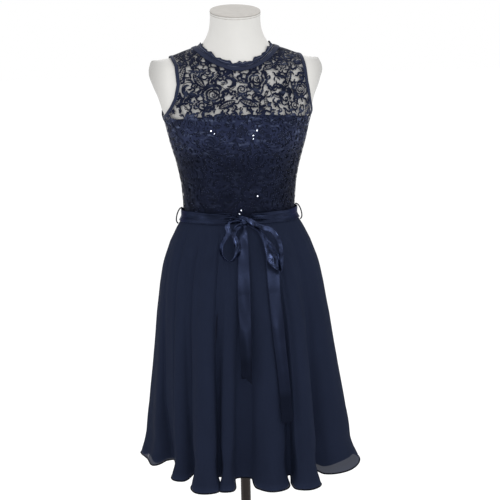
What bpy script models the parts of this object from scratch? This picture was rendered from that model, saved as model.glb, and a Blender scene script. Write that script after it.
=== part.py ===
"""Sleeveless cocktail dress with a lace yoke, tied satin ribbon and flared chiffon skirt, worn by a
limbless dress form on a pole stand. Metres, +Z up, front towards -Y, origin under the base."""

import math

import bpy
import numpy as np

# ---- cloth
CLOTH = 0.001  # wall of lining, lace, chiffon and ribbon
SEAM = 0.0003  # clear gap between neighbouring pieces
LINING_LIFT = 0.0014  # inner face of the bodice lining, out from the form
TRIM_CLEAR = 0.0007  # neckline tape, over the lace
RUFFLE_LIFT = 0.0012
TRIM_CLOTH = 0.0012
TAPE_WIDTH = 0.0085
RUFFLE_WIDTH = 0.0088
BINDING_WIDTH = 0.0075
BINDING_CLOTH = 0.0022
ZIP_HALF_WIDTH = 0.0025

# ---- waist ribbon
BELT_LIFT = 0.0052
BELT_HEIGHT = 0.0235
BELT_PINCH = 0.42  # share of its height that is left under the knot
BELT_Z = 1.0440
BELT_DIP = 0.0035  # how far it sags under the knot
RIBBON = 0.001

# ---- skirt
WAIST_Z = 1.0435
HEM_Z = 0.507
SWAY = 0.005  # the skirt hangs this far to +X at the hem
FOLD_START = 0.08  # share of the length above which the cloth has no fold
FOLD_POWER = 1.25
FREE_ROOM = 0.2  # how far a fold may dip at the hem, where the skirt hangs over nothing
FREE_START = 0.70  # share of the length at which the folds start to get that room
SKIRT_CLEAR = 0.006  # between a fold's valley and what it hangs over
FOLD_COLUMNS = 7  # columns of cloth in one fold
SKIRT_ROWS = (0.0, 0.06, 0.14, 0.26, 0.46, 0.72, 1.0)  # shares of the length
ZIP_SKIRT_SHARE = 0.26  # the zip ends this far down the skirt

# ---- stand
POLE_RADIUS = 0.011
POLE_TOP_Z = 0.7795
BASE_RADIUS = 0.170
BASE_HEIGHT = 0.018
CAP_THICKNESS = 0.004

# The form's rings from below: half width, front and back reach, the depth of the widest point, the
# heights at front, side and back, and the squareness of the section (2 is an ellipse).
BODY_RINGS = (
    # name        half    front    back    mid    z_front z_side  z_back  square
    ("rim",       0.112, -0.064,  0.084,  0.008,  0.7880, 0.7880, 0.7880, 2.30),
    ("seat",      0.149, -0.089,  0.112,  0.008,  0.8030, 0.8030, 0.8030, 2.40),
    ("hip",       0.160, -0.099,  0.119,  0.006,  0.8620, 0.8620, 0.8620, 2.40),
    ("high_hip",  0.1525, -0.099, 0.104,  0.003,  0.9350, 0.9350, 0.9350, 2.40),
    ("low_waist", 0.1335, -0.090, 0.086,  0.000,  0.9880, 0.9880, 0.9880, 2.30),
    ("waist",     0.1165, -0.083, 0.076,  0.000,  1.0440, 1.0440, 1.0440, 2.20),
    ("rib",       0.1172, -0.087, 0.080,  0.000,  1.0960, 1.0990, 1.1000, 2.20),
    ("midriff",   0.1255, -0.094, 0.089,  0.000,  1.1480, 1.1490, 1.1520, 2.25),
    ("bust",      0.1410, -0.105, 0.098,  0.000,  1.2100, 1.2060, 1.2120, 2.30),
    ("chest",     0.1495, -0.106, 0.101,  0.000,  1.2570, 1.2460, 1.2580, 2.35),
    ("armpit",    0.1580, -0.101, 0.100,  0.002,  1.2790, 1.2680, 1.2790, 2.35),
    ("arm_low",   0.1650, -0.096, 0.097,  0.004,  1.2960, 1.2915, 1.2980, 2.30),
    ("arm_mid",   0.1750, -0.090, 0.092,  0.006,  1.3120, 1.3165, 1.3180, 2.30),
    ("arm_tip",   0.1830, -0.084, 0.086,  0.008,  1.3250, 1.3435, 1.3370, 2.20),
    ("arm_top",   0.1755, -0.080, 0.080,  0.010,  1.3340, 1.3640, 1.3520, 2.15),
    ("arm_ridge", 0.1545, -0.077, 0.074,  0.011,  1.3400, 1.3705, 1.3640, 2.10),
    ("shoulder",  0.1310, -0.074, 0.069,  0.011,  1.3450, 1.3745, 1.3730, 2.05),
    ("collar",    0.1040, -0.071, 0.064,  0.010,  1.3490, 1.3850, 1.3810, 2.00),
    ("neckline",  0.0800, -0.068, 0.060,  0.008,  1.3520, 1.3940, 1.3890, 2.00),
    ("neck_root", 0.0660, -0.061, 0.054,  0.004,  1.3690, 1.4060, 1.4060, 2.00),
    ("neck_low",  0.0562, -0.056, 0.048,  0.000,  1.3950, 1.4260, 1.4300, 2.00),
    ("neck_mid",  0.0528, -0.056, 0.0455, -0.004, 1.4300, 1.4450, 1.4600, 2.00),
    ("neck_top",  0.0522, -0.060, 0.0440, -0.008, 1.4520, 1.4650, 1.4780, 2.00),
)
RING_NUMBER = {row[0]: number for number, row in enumerate(BODY_RINGS)}
WAIST = RING_NUMBER["waist"]
CHEST = RING_NUMBER["chest"]
SHOULDER = RING_NUMBER["shoulder"]
NECKLINE = RING_NUMBER["neckline"]
NECK_LOW = RING_NUMBER["neck_low"]
NECK_TOP = RING_NUMBER["neck_top"]
COLUMNS = 32  # of the form, and of the cloth that lies on it, once round
ARMHOLE_STEPS = 8
HIP_ROWS = (0, 0.4, 1, 1.5, 2, 3, 3.7, 4.4)  # ring numbers of the form below the waist

BUST_X = 0.070
BUST_Z = 1.213
BUST_REACH = 0.048
BUST_RISE = 0.017

# The armhole's cut seen from the front: how far out the lace reaches at each height. The dress sits a
# little to +X on the form, so its left and right edges differ.
ARMHOLE_CUT = (
    # height  left    right   back
    (1.2460, 0.1500, 0.1500, 0.1500),
    (1.2520, 0.1478, 0.1500, 0.1505),
    (1.2700, 0.1370, 0.1460, 0.1475),
    (1.2900, 0.1275, 0.1420, 0.1440),
    (1.3200, 0.1210, 0.1355, 0.1375),
    (1.3550, 0.1235, 0.1325, 0.1320),
    (1.3745, 0.1310, 0.1310, 0.1310),
)

# The lace lies over the lining up to its top edge, then straight on the form.
LACE_DRAPE = (
    # ring  lift
    (5.0, 0.0032),
    (8.4, 0.0032),
    (9.0, 0.0045),
    (9.6, 0.0038),
    (10.5, 0.0030),
    (14.0, 0.0026),
    (16.0, 0.0028),
    (17.0, 0.0021),
    (18.0, 0.0014),
)

# The skirt's outline where no fold dips in.
SKIRT_RINGS = (
    # name         z       half    front    back   square
    ("seam",      1.0435, 0.1205, 0.0865, 0.0795, 2.20),
    ("over_hip",  1.0130, 0.1365, 0.0985, 0.0930, 2.25),
    ("high_hip",  0.9840, 0.1510, 0.1120, 0.1080, 2.30),
    ("hip",       0.9400, 0.1670, 0.1330, 0.1300, 2.25),
    ("low_hip",   0.8960, 0.1765, 0.1520, 0.1480, 2.20),
    ("thigh",     0.8295, 0.1870, 0.1790, 0.1700, 2.10),
    ("mid",       0.7400, 0.1985, 0.2030, 0.1890, 2.05),
    ("knee",      0.6270, 0.2145, 0.2280, 0.2080, 2.00),
    ("low",       0.5580, 0.2255, 0.2420, 0.2190, 2.00),
    ("hem",       0.5070, 0.2360, 0.2520, 0.2280, 2.00),
)

# One row a fold of the hem, in degrees from the front towards +X and metres from the axis: the valley
# before the fold, its left shoulder, crest and right shoulder, and how far the cloth between them bulges.
FOLDS = (
    # name        v_deg  v_out  v_half   l_deg  l_out   c_deg  c_out   r_deg  r_out  bulge
    ("back_5",   -163.0, 0.165, 0.0040, -158.0, 0.221, -149.0, 0.236, -141.0, 0.225, 0.004),
    ("back_6",   -136.0, 0.170, 0.0040, -132.0, 0.221, -126.0, 0.232, -121.0, 0.223, 0.003),
    ("side_left", -116.5, 0.178, 0.0040, -111.0, 0.228, -101.0, 0.236, -76.0, 0.212, -0.009),
    ("front_1",   -69.5, 0.168, 0.0040, -62.5, 0.194, -53.0, 0.219, -44.8, 0.212, 0.003),
    ("front_2",   -41.0, 0.172, 0.0035, -34.5, 0.237, -28.0, 0.262, -20.9, 0.244, 0.004),
    ("front_3",   -25.5, 0.150, 0.0030, -18.9, 0.238, -16.0, 0.238, -13.2, 0.231, 0.002),
    ("front_4",    -8.5, 0.152, 0.0130, -1.5, 0.212,   6.0, 0.247,  14.4, 0.234, 0.004),
    ("front_5",    21.5, 0.168, 0.0035, 17.8, 0.252,  23.0, 0.267,  29.8, 0.256, 0.002),
    ("front_6",    40.5, 0.168, 0.0040, 43.8, 0.226,  56.0, 0.250,  76.0, 0.2405, 0.005),
    ("side_right", 89.5, 0.190, 0.0045, 97.0, 0.229, 106.0, 0.239, 115.0, 0.227, 0.004),
    ("back_1",    120.5, 0.172, 0.0040, 125.0, 0.222, 134.0, 0.238, 143.0, 0.226, 0.004),
    ("back_2",    148.0, 0.166, 0.0040, 152.0, 0.217, 156.5, 0.227, 161.0, 0.220, 0.002),
    ("back_3",    166.0, 0.172, 0.0040, 171.0, 0.222, 180.0, 0.230, 189.0, 0.224, 0.004),
)
# What the skirt hangs over: no fold of it reaches in past this.
INSIDE_RINGS = (
    # name      z       half    front   back   square
    ("seam",   1.0435, 0.1187, 0.0847, 0.0777, 2.2),
    ("waist",  0.9880, 0.1352, 0.0922, 0.0882, 2.3),
    ("hip",    0.9350, 0.1545, 0.1015, 0.1065, 2.4),
    ("seat",   0.8620, 0.1625, 0.1030, 0.1220, 2.4),
    ("foot",   0.5700, 0.1630, 0.1120, 0.1270, 2.2),
)

# The slip lining hangs in the same folds, this far inside the chiffon.
LINING_GAP = (
    # share   gap
    (0.00, 0.0016),
    (0.14, 0.0040),
    (0.46, 0.0055),
    (0.72, 0.0065),
    (1.00, 0.0070),
)
LINING_ROWS = (0.0, 0.14, 0.46, 0.72, 1.0)  # shares of the chiffon's length; the last is the hem
LINING_RISE_FRONT = 0.012  # its hem is this much higher than the chiffon's at the front and back
LINING_RISE_SIDE = 0.028

# Loops of the bow: centre line, the way the ribbon's width points, and its width. Depth is towards -Y.
LEFT_LOOP = (
    # x       depth   z       across_x, across_depth, across_z  width
    (-0.0084, 0.1003, 1.0450, 0.10, 0.60, 0.80, 0.010),
    (-0.0185, 0.1105, 1.0470, 0.20, 0.85, 0.50, 0.012),
    (-0.0290, 0.1170, 1.0405, 0.30, 0.93, 0.22, 0.015),
    (-0.0385, 0.1230, 1.0260, 0.25, 0.96, 0.10, 0.018),
    (-0.0455, 0.1285, 1.0060, 0.18, 0.98, 0.05, 0.020),
    (-0.0485, 0.1330, 0.9850, 0.12, 0.99, 0.00, 0.020),
    (-0.0430, 0.1375, 0.9680, 0.05, 0.99, 0.15, 0.020),
    (-0.0320, 0.1390, 0.9620, 0.00, 0.97, 0.24, 0.020),
    (-0.0215, 0.1385, 0.9710, -0.20, 0.95, 0.20, 0.020),
    (-0.0165, 0.1355, 0.9880, -0.38, 0.92, 0.00, 0.020),
    (-0.0185, 0.1305, 1.0060, -0.45, 0.88, -0.05, 0.019),
    (-0.0200, 0.1240, 1.0210, -0.35, 0.92, 0.05, 0.016),
    (-0.0170, 0.1160, 1.0320, -0.10, 0.95, 0.25, 0.012),
    (-0.0082, 0.1018, 1.0362, 0.00, 0.80, 0.60, 0.009),
)
RIGHT_LOOP = (
    # x      depth   z       across_x, across_depth, across_z  width
    (0.0096, 0.1003, 1.0445, 0.10, 0.60, 0.80, 0.009),
    (0.0200, 0.1115, 1.0385, 0.35, 0.75, 0.60, 0.010),
    (0.0310, 0.1190, 1.0300, 0.45, 0.80, 0.40, 0.012),
    (0.0410, 0.1270, 1.0285, 0.15, 0.90, 0.40, 0.016),
    (0.0520, 0.1345, 1.0270, 0.30, 0.90, 0.30, 0.019),
    (0.0620, 0.1405, 1.0170, 0.45, 0.88, 0.15, 0.021),
    (0.0690, 0.1445, 1.0000, 0.40, 0.91, 0.05, 0.021),
    (0.0715, 0.1480, 0.9800, 0.28, 0.96, 0.00, 0.021),
    (0.0690, 0.1500, 0.9610, 0.15, 0.98, 0.10, 0.021),
    (0.0600, 0.1490, 0.9560, 0.00, 0.96, 0.28, 0.021),
    (0.0500, 0.1455, 0.9690, -0.25, 0.94, 0.20, 0.020),
    (0.0430, 0.1400, 0.9880, -0.35, 0.93, 0.05, 0.019),
    (0.0370, 0.1320, 1.0050, -0.30, 0.94, 0.10, 0.016),
    (0.0270, 0.1220, 1.0190, -0.10, 0.90, 0.40, 0.011),
    (0.0096, 0.1018, 1.0350, 0.00, 0.75, 0.65, 0.009),
)
LEFT_TAIL = (
    # x      z       width  lift (clear of the skirt's outline)
    (-0.0042, 1.0305, 0.0065, 0.0055),
    (-0.0022, 1.0080, 0.018, 0.0050),
    (-0.0035, 0.9800, 0.021, 0.0045),
    (-0.0060, 0.9400, 0.024, 0.0040),
    (-0.0090, 0.8900, 0.025, 0.0035),
    (-0.0115, 0.8300, 0.025, 0.0035),
    (-0.0140, 0.7750, 0.023, 0.0035),
    (-0.0148, 0.7330, 0.020, 0.0035),
)
RIGHT_TAIL = (
    # x     z       width  lift
    (0.0048, 1.0305, 0.0075, 0.0055),
    (0.0240, 1.0080, 0.016, 0.0045),
    (0.0400, 0.9840, 0.022, 0.0040),
    (0.0510, 0.9500, 0.025, 0.0035),
    (0.0565, 0.9050, 0.025, 0.0035),
    (0.0600, 0.8450, 0.025, 0.0035),
    (0.0640, 0.7700, 0.025, 0.0035),
    (0.0665, 0.7000, 0.025, 0.0035),
    (0.0680, 0.6420, 0.025, 0.0035),
)
LEFT_TAIL_SLANT = 0.021  # how much longer the ribbon's right edge is cut
RIGHT_TAIL_SLANT = -0.003

BELT_LOOP_PATH = (
    # out     z
    (0.1215, 1.0590),
    (0.1265, 1.0570),
    (0.1310, 1.0500),
    (0.1340, 1.0410),
    (0.1350, 1.0330),
    (0.1338, 1.0280),
    (0.1315, 1.0255),
)

KNOT_CENTRE = (0.0005, -0.0992, 1.0405)
KNOT_RADII = (0.0085, 0.0065, 0.0095)

# ---- zip pull
SLIDER_WIDTH = 0.0050
SLIDER_LENGTH = 0.0080
SLIDER_DEPTH = 0.0016
BRIDGE_WIDTH = 0.0014
BRIDGE_POST = 0.0009
BRIDGE_RISE = 0.0031
TAB_WIDTH = 0.0050
TAB_LENGTH = 0.0175
TAB_THICKNESS = 0.0010
TAB_HOLE_WIDTH = 0.0024
TAB_HOLE_LENGTH = 0.0042
TAB_BAR = 0.0010
TAB_AXIS_RISE = 0.0012  # the hinge's distance from the slider's face
ZIP_TOP = 16.35  # ring number at which the slider sits
SLIDER_CLEAR = 0.0005

NAVY_CHIFFON = (0.016, 0.022, 0.042)
NAVY_LACE = (0.014, 0.015, 0.037)
NAVY_SATIN = (0.020, 0.026, 0.062)
FORM_WHITE = (0.76, 0.75, 0.73)
CAP_GREY = (0.58, 0.56, 0.52)
POLE_BROWN = (0.035, 0.022, 0.018)
ZIP_METAL = (0.05, 0.055, 0.08)


def clear_scene():
    for obj in list(bpy.data.objects):
        bpy.data.objects.remove(obj, do_unlink=True)


def material(name, colour, roughness, metallic=0.0):
    made = bpy.data.materials.new(name)
    made.use_nodes = True
    shader = made.node_tree.nodes["Principled BSDF"]
    shader.inputs["Base Color"].default_value = (*colour, 1.0)
    shader.inputs["Roughness"].default_value = roughness
    shader.inputs["Metallic"].default_value = metallic
    return made


def enclosed(points, faces):
    """Six times the volume inside the faces; negative where they face inwards."""
    total = 0.0
    for face in faces:
        first = points[face[0]]
        for second, third in zip(face[1:-1], face[2:]):
            total += np.dot(first, np.cross(points[second], points[third]))
    return total


def solid(name, points, faces, look, smooth=True):
    points = np.asarray(points, float)
    if enclosed(points, faces) < 0:
        faces = [tuple(reversed(face)) for face in faces]
    mesh = bpy.data.meshes.new(name)
    mesh.from_pydata([tuple(p) for p in points], [], faces)
    mesh.materials.append(look)
    if smooth:
        mesh.shade_smooth()
        mesh.set_sharp_from_angle(angle=math.radians(40))
    mesh.update()
    obj = bpy.data.objects.new(name, mesh)
    bpy.context.scene.collection.objects.link(obj)
    return obj


def wall(name, inner, outer, look, ring=False):
    """A closed wall of cloth between two grids of points (rows, columns, 3); a ring's columns close up."""
    rows, columns = inner.shape[:2]
    points = np.concatenate([inner.reshape(-1, 3), outer.reshape(-1, 3)])
    other = rows * columns
    faces = []

    def at(row, column, side):
        return side * other + row * columns + column % columns

    spans = columns if ring else columns - 1
    for row in range(rows - 1):
        for column in range(spans):
            low, high = (row, column), (row + 1, column + 1)
            for corner in ((row, column + 1), (row + 1, column)):
                turn = (low, corner, high) if corner[0] == row else (low, high, corner)
                faces.append(tuple(at(r, c, 1) for r, c in turn))
                faces.append(tuple(at(r, c, 0) for r, c in reversed(turn)))
    for column in range(spans):
        for row, step in ((0, 1), (rows - 1, -1)):
            a, b = (column, column + 1)[::step]
            faces.append((at(row, a, 0), at(row, b, 0), at(row, b, 1), at(row, a, 1)))
    if not ring:
        for row in range(rows - 1):
            for column, step in ((0, -1), (columns - 1, 1)):
                a, b = (row, row + 1)[::step]
                rim = ((a, 0), (b, 0), (b, 1), (a, 1))
                faces.append(tuple(at(r, column, side) for r, side in rim))
    return solid(name, points, faces, look)


def smooth_rows(table, at):
    """The table's numbers at fractional row numbers, on a Catmull-Rom curve through its rows."""
    rows = np.array(table, float)
    last = len(rows) - 1
    at = np.asarray(at, float)
    low = np.clip(np.floor(at).astype(int), 0, last - 1)
    f = (at - low)[..., None]
    p0, p1 = rows[np.maximum(low - 1, 0)], rows[low]
    p2, p3 = rows[low + 1], rows[np.minimum(low + 2, last)]
    return 0.5 * (
        2 * p1 + (p2 - p0) * f + (2 * p0 - 5 * p1 + 4 * p2 - p3) * f**2 + (3 * p1 - p0 - 3 * p2 + p3) * f**3
    )


def numbers(table):
    return [row[1:] for row in table]


def body(t, phi):
    """A point of the form at ring number t and angle phi from the front towards +X."""
    t, phi = np.broadcast_arrays(np.asarray(t, float), np.asarray(phi, float))
    ring = smooth_rows(numbers(BODY_RINGS), t)
    half, front, back, mid, z_front, z_side, z_back, square = np.moveaxis(ring, -1, 0)
    s, c = np.sin(phi), np.cos(phi)
    k = (np.abs(s) ** square + np.abs(c) ** square) ** (-1 / square)
    x = half * s * k
    y = mid - np.where(c > 0, mid - front, back - mid) * c * k
    level = np.clip((t - NECK_LOW) / (NECK_TOP - NECK_LOW), 0, 1)  # the neck's rings flatten to a plane
    z = z_side + (np.where(c > 0, z_front, z_back) - z_side) * (c * c + (np.abs(c) - c * c) * level)
    near = ((np.abs(x) - BUST_X) ** 2 + (z - BUST_Z) ** 2) / BUST_REACH**2
    y = y - BUST_RISE * np.exp(-near) * np.clip(c * 3, 0, 1) ** 2
    return np.stack([x, y, z], -1)


def body_frame(t, phi):
    """The form's point with its rates of change along t and phi, and its outward normal."""
    step = 1e-3
    low, high = np.clip(t - step, 0, NECK_TOP), np.clip(t + step, 0, NECK_TOP)
    along_t = (body(high, phi) - body(low, phi)) / (high - low)[..., None]
    along_phi = (body(t, phi + step) - body(t, phi - step)) / (2 * step)
    normal = np.cross(along_phi, along_t)
    normal /= np.linalg.norm(normal, axis=-1, keepdims=True)
    return body(t, phi), along_t, along_phi, normal


def over_body(t, phi, lift):
    """The point of the form at (t, phi), moved out by lift."""
    t, phi = np.broadcast_arrays(np.asarray(t, float), np.asarray(phi, float))
    point, _, _, normal = body_frame(t, phi)
    return point + normal * np.asarray(lift)[..., None]


def lace_lift(t):
    ring, lift = np.array(LACE_DRAPE).T
    return np.interp(t, ring, lift)


def armhole_angle(t, side, back=False):
    """How far round from the front, or from the back, the armhole of this side cuts the ring t."""
    heights, left, right, back_reach = np.array(ARMHOLE_CUT).T
    reach = back_reach if back else (right if side > 0 else left)
    if t <= CHEST or t >= SHOULDER:
        return math.pi / 2
    low, high = math.radians(20), math.pi / 2
    for _ in range(40):
        middle = (low + high) / 2
        x, _, z = body(t, math.pi - middle if back else middle)
        if x < np.interp(z, heights, reach):
            low = middle
        else:
            high = middle
    return high


def armhole_rows(count):
    """Ring numbers up the armhole, closest together at its ends, where it turns."""
    share = (1 - np.cos(math.pi * np.arange(count + 1) / count)) / 2
    return CHEST + (SHOULDER - CHEST) * share


BODICE_ROWS = np.linspace(WAIST, CHEST, 7)
YOKE_ROWS = np.concatenate([armhole_rows(ARMHOLE_STEPS)[1:], np.linspace(SHOULDER, NECKLINE, 3)[1:]])


def bodice_panel(name, lift, rows, part, columns, look):
    """A panel of the bodice between its seams: part is "front", or the side (-1, 1) of a back half."""
    half = np.abs(body(rows, math.pi / 2)[:, 0])
    if part == "front":
        left, right = (np.array([armhole_angle(t, side) for t in rows]) - SEAM / 2 / half for side in (-1, 1))
        share = np.linspace(-1, 1, columns)[None, :]
        phi = np.where(share < 0, share * left[:, None], share * right[:, None])
    else:
        edge = np.array([armhole_angle(t, part, True) for t in rows]) - SEAM / 2 / half
        reach = smooth_rows(numbers(BODY_RINGS), rows)[:, 2]
        centre_gap = (ZIP_HALF_WIDTH + SEAM) / reach
        share = np.linspace(0, 1, columns)
        phi = part * (math.pi - (centre_gap[:, None] + share[None, :] * (edge - centre_gap)[:, None]))
    t = np.broadcast_to(rows[:, None], phi.shape)
    lift = np.broadcast_to(lift, rows.shape)[:, None] + 0 * phi
    return wall(name, over_body(t, phi, lift), over_body(t, phi, lift + CLOTH), look)


def slide(t, phi, direction, distance):
    """Walk over the form from (t, phi) along a 3-D direction by a distance; returns (t, phi)."""
    steps = 4
    for _ in range(steps):
        _, along_t, along_phi, normal = body_frame(t, phi)
        flat = direction - normal * np.sum(direction * normal, -1, keepdims=True)
        flat = flat / np.linalg.norm(flat, axis=-1, keepdims=True)
        tt = np.sum(along_t * along_t, -1)
        tp = np.sum(along_t * along_phi, -1)
        pp = np.sum(along_phi * along_phi, -1)
        ft, fp = np.sum(flat * along_t, -1), np.sum(flat * along_phi, -1)
        span = tt * pp - tp * tp
        t = t + (ft * pp - fp * tp) / span * distance / steps
        phi = phi + (fp * tt - ft * tp) / span * distance / steps
    return t, phi


def armhole_binding(name, side, look):
    """A closed strip that runs on round the armhole from the lace's edge."""
    rows = armhole_rows(ARMHOLE_STEPS)
    front = np.array([armhole_angle(t, side) for t in rows])
    back = math.pi - np.array([armhole_angle(t, side, True) for t in rows])
    t = np.concatenate([rows, rows[-2:0:-1]])
    phi = np.concatenate([front, back[-2:0:-1]])
    edge = body(t, phi)
    forward = np.roll(edge, -1, axis=0) - np.roll(edge, 1, axis=0)
    normal = body_frame(t, phi)[3]
    inward = np.cross(forward, normal)
    middle = edge.mean(axis=0)
    inward *= np.sign(np.sum(inward * (middle - edge), -1, keepdims=True))
    near = slide(t, phi, inward, SEAM)
    far = slide(t, phi, inward, BINDING_WIDTH)
    lift = lace_lift(t) - (BINDING_CLOTH - CLOTH) / 2

    def strip(rise):
        grid = np.stack([over_body(*near, rise), over_body(*far, rise)])
        return grid * (side, 1, 1)

    return wall(name, strip(lift), strip(lift + BINDING_CLOTH), look, ring=True)


def neckline_angles(count):
    gap = SEAM / BODY_RINGS[NECKLINE][3]
    return np.linspace(-math.pi + gap, math.pi - gap, count)


def neckline_strip(name, start, width, lift, rows, columns, ripple, look, over_lace=False):
    """A strip round the neckline, from start to start + width up from the lace's edge, open at the back."""
    phi = neckline_angles(columns + 1)
    t = np.full_like(phi, NECKLINE)
    up = body_frame(t, phi)[1]
    wave = 0.6 * np.sin(11 * phi + 0.6) + 0.4 * np.sin(17 * phi + 2.0)
    peak = np.exp(-(((np.abs(phi) - math.pi / 2) / 0.20) ** 2))
    width = width * (1 - (0.38 * np.sin(2 * phi) ** 2 - 0.30 * peak) * (ripple > 0))
    inner, outer = [], []
    for share in np.linspace(0, 1, rows):
        distance = start + width * share + ripple * share * wave
        at_t, at_phi = slide(t, phi, up, distance)
        rise = lift + ripple * 0.35 * share * np.sin(14 * phi)
        rise = rise + (lace_lift(at_t) if over_lace else 0)
        inner.append(over_body(at_t, at_phi, rise))
        outer.append(over_body(at_t, at_phi, rise + TRIM_CLOTH))
    return wall(name, np.array(inner), np.array(outer), look)


def contour(table, z, phi):
    """The outline of a skirt or lining at height z and angle phi, on the table's smooth profile."""
    heights = np.array([row[1] for row in table])
    row = np.interp(-z, -heights, np.arange(len(table)))
    values = smooth_rows([entry[2:] for entry in table], row)
    half, front, back, square = np.moveaxis(values, -1, 0)
    s, c = np.sin(phi), np.cos(phi)
    k = (np.abs(s / half) ** square + np.abs(c / np.where(c > 0, front, back)) ** square) ** (-1 / square)
    return k


def hem_points():
    """The hem's columns as angle and distance from the axis, seven to a fold, once round."""
    points = []
    for _, v_deg, v_out, v_half, l_deg, l_out, c_deg, c_out, r_deg, r_out, bulge in FOLDS:
        half = math.degrees(v_half / v_out)
        points.append((v_deg - half, v_out))
        points.append((v_deg + half, v_out))
        points.append((l_deg, l_out))
        points.append(((l_deg + c_deg) / 2, (l_out + c_out) / 2 + bulge))
        points.append((c_deg, c_out))
        points.append(((c_deg + r_deg) / 2, (c_out + r_out) / 2 + bulge))
        points.append((r_deg, r_out))
    angle, out = np.array(points).T
    return np.radians(angle), out


def fold_column(name, place):
    return [row[0] for row in FOLDS].index(name) * FOLD_COLUMNS + place


LEFT_SEAM = fold_column("side_left", 5)
RIGHT_SEAM = fold_column("side_right", 0)
BACK_SEAM = fold_column("back_3", 4)


def skirt_columns():
    """Angle at the waist, angle at the hem and distance at the hem of each column, once round from the
    left side seam. The waist angle follows the cloth's length along the hem, panel by panel."""
    angle, out = hem_points()
    count = len(angle)
    order = (np.arange(count + 1) + LEFT_SEAM) % count
    turns = np.where(np.arange(count + 1) + LEFT_SEAM >= count, 2 * math.pi, 0.0)
    angle, out = angle[order] + turns, out[order]
    places = np.stack([out * np.sin(angle), -out * np.cos(angle)], -1)
    length = np.concatenate([[0], np.cumsum(np.linalg.norm(np.diff(places, axis=0), axis=1))])
    seams = [0, RIGHT_SEAM - LEFT_SEAM, BACK_SEAM - LEFT_SEAM, count]
    waist = np.interp(length, length[seams], np.radians([-90, 90, 180, 270]))
    return waist, angle, out, seams


def skirt_surface(v, waist, angle, out):
    """Points of the skirt at the share v of its length, for columns with these angles and hem distances."""
    v = v + 0 * waist
    z = WAIST_Z + (HEM_Z - WAIST_Z) * v
    turn = v**0.7
    phi = waist + (angle - waist) * turn
    outline = contour(SKIRT_RINGS, z, phi)
    depth = contour(SKIRT_RINGS, HEM_Z + 0 * phi, angle) - out
    grown = np.clip((v - FOLD_START) / (1 - FOLD_START), 0, 1) ** FOLD_POWER
    inside = contour(INSIDE_RINGS, z, phi)
    room = np.maximum(outline - inside - SKIRT_CLEAR, 1e-4)
    room = room + FREE_ROOM * np.clip((v - FREE_START) / (1 - FREE_START), 0, 1) ** 2
    dip = depth * grown
    dip = np.where(dip > 0, room * (1 - np.exp(-np.maximum(dip, 0) / room)), dip)
    radius = outline - dip
    return np.stack([radius * np.sin(phi) + SWAY * v, -radius * np.cos(phi), z], -1)


def grid_normals(grid):
    """Outward normals of a grid whose rows run down and columns run from the left to the right."""
    down = np.gradient(grid, axis=0)
    right = np.gradient(grid, axis=1)
    normal = np.cross(down, right)
    return normal / np.linalg.norm(normal, axis=-1, keepdims=True)


def skirt_panels(looks):
    waist, angle, out, seams = skirt_columns()
    whole = np.stack([skirt_surface(v, waist, angle, out) for v in SKIRT_ROWS])
    around = np.concatenate([whole[:, -2:-1], whole, whole[:, 1:2]], axis=1)
    normals = grid_normals(around)[:, 1:-1]
    normals[0, :, 2] = 0
    normals[0] /= np.linalg.norm(normals[0], axis=-1, keepdims=True)
    names = ("skirt_front", "skirt_back_right", "skirt_back_left")
    for name, first, last in zip(names, seams[:-1], seams[1:]):
        part = whole[:, first : last + 1].copy()
        facing = normals[:, first : last + 1]
        for edge, neighbour in ((0, 1), (-1, -2)):
            along = part[:, neighbour] - part[:, edge]
            along /= np.linalg.norm(along, axis=-1, keepdims=True)
            at_zip = "back" in name and abs(abs(waist[first if edge == 0 else last]) - math.pi) < 1e-6
            gap = np.full((len(part), 1), SEAM / 2)
            if at_zip:
                gap[np.array(SKIRT_ROWS) <= ZIP_SKIRT_SHARE] = ZIP_HALF_WIDTH + SEAM
            part[:, edge] += along * gap
        wall(name, part - facing * CLOTH / 2, part + facing * CLOTH / 2, looks)


def skirt_lining(look):
    """The slip under the chiffon: a front and a back that hang in its folds, a little shorter."""
    waist, angle, out, seams = skirt_columns()
    rise = LINING_RISE_FRONT + (LINING_RISE_SIDE - LINING_RISE_FRONT) * np.sin(angle) ** 2
    cut = rise / (WAIST_Z - HEM_Z) / (1 - LINING_ROWS[-2])  # share of the last row's height
    whole = np.stack([skirt_surface(share, waist, angle, out) for share in LINING_ROWS])
    whole[-1] += (whole[-2] - whole[-1]) * cut[:, None]
    around = np.concatenate([whole[:, -2:-1], whole, whole[:, 1:2]], axis=1)
    normals = grid_normals(around)[:, 1:-1]
    normals[0, :, 2] = 0
    normals[0] /= np.linalg.norm(normals[0], axis=-1, keepdims=True)
    at, table_gap = np.array(LINING_GAP).T
    gap = np.interp(LINING_ROWS, at, table_gap)[:, None, None]
    right = seams[1]
    for name, first, last in (("skirt_lining_front", 0, right), ("skirt_lining_back", right, len(angle) - 1)):
        part = (whole - normals * gap)[:, first : last + 1]
        for edge, neighbour in ((0, 1), (-1, -2)):
            along = part[:, neighbour] - part[:, edge]
            part[:, edge] += along / np.linalg.norm(along, axis=-1, keepdims=True) * SEAM / 2
        facing = normals[:, first : last + 1]
        wall(name, part - facing * CLOTH, part, look)


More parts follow.
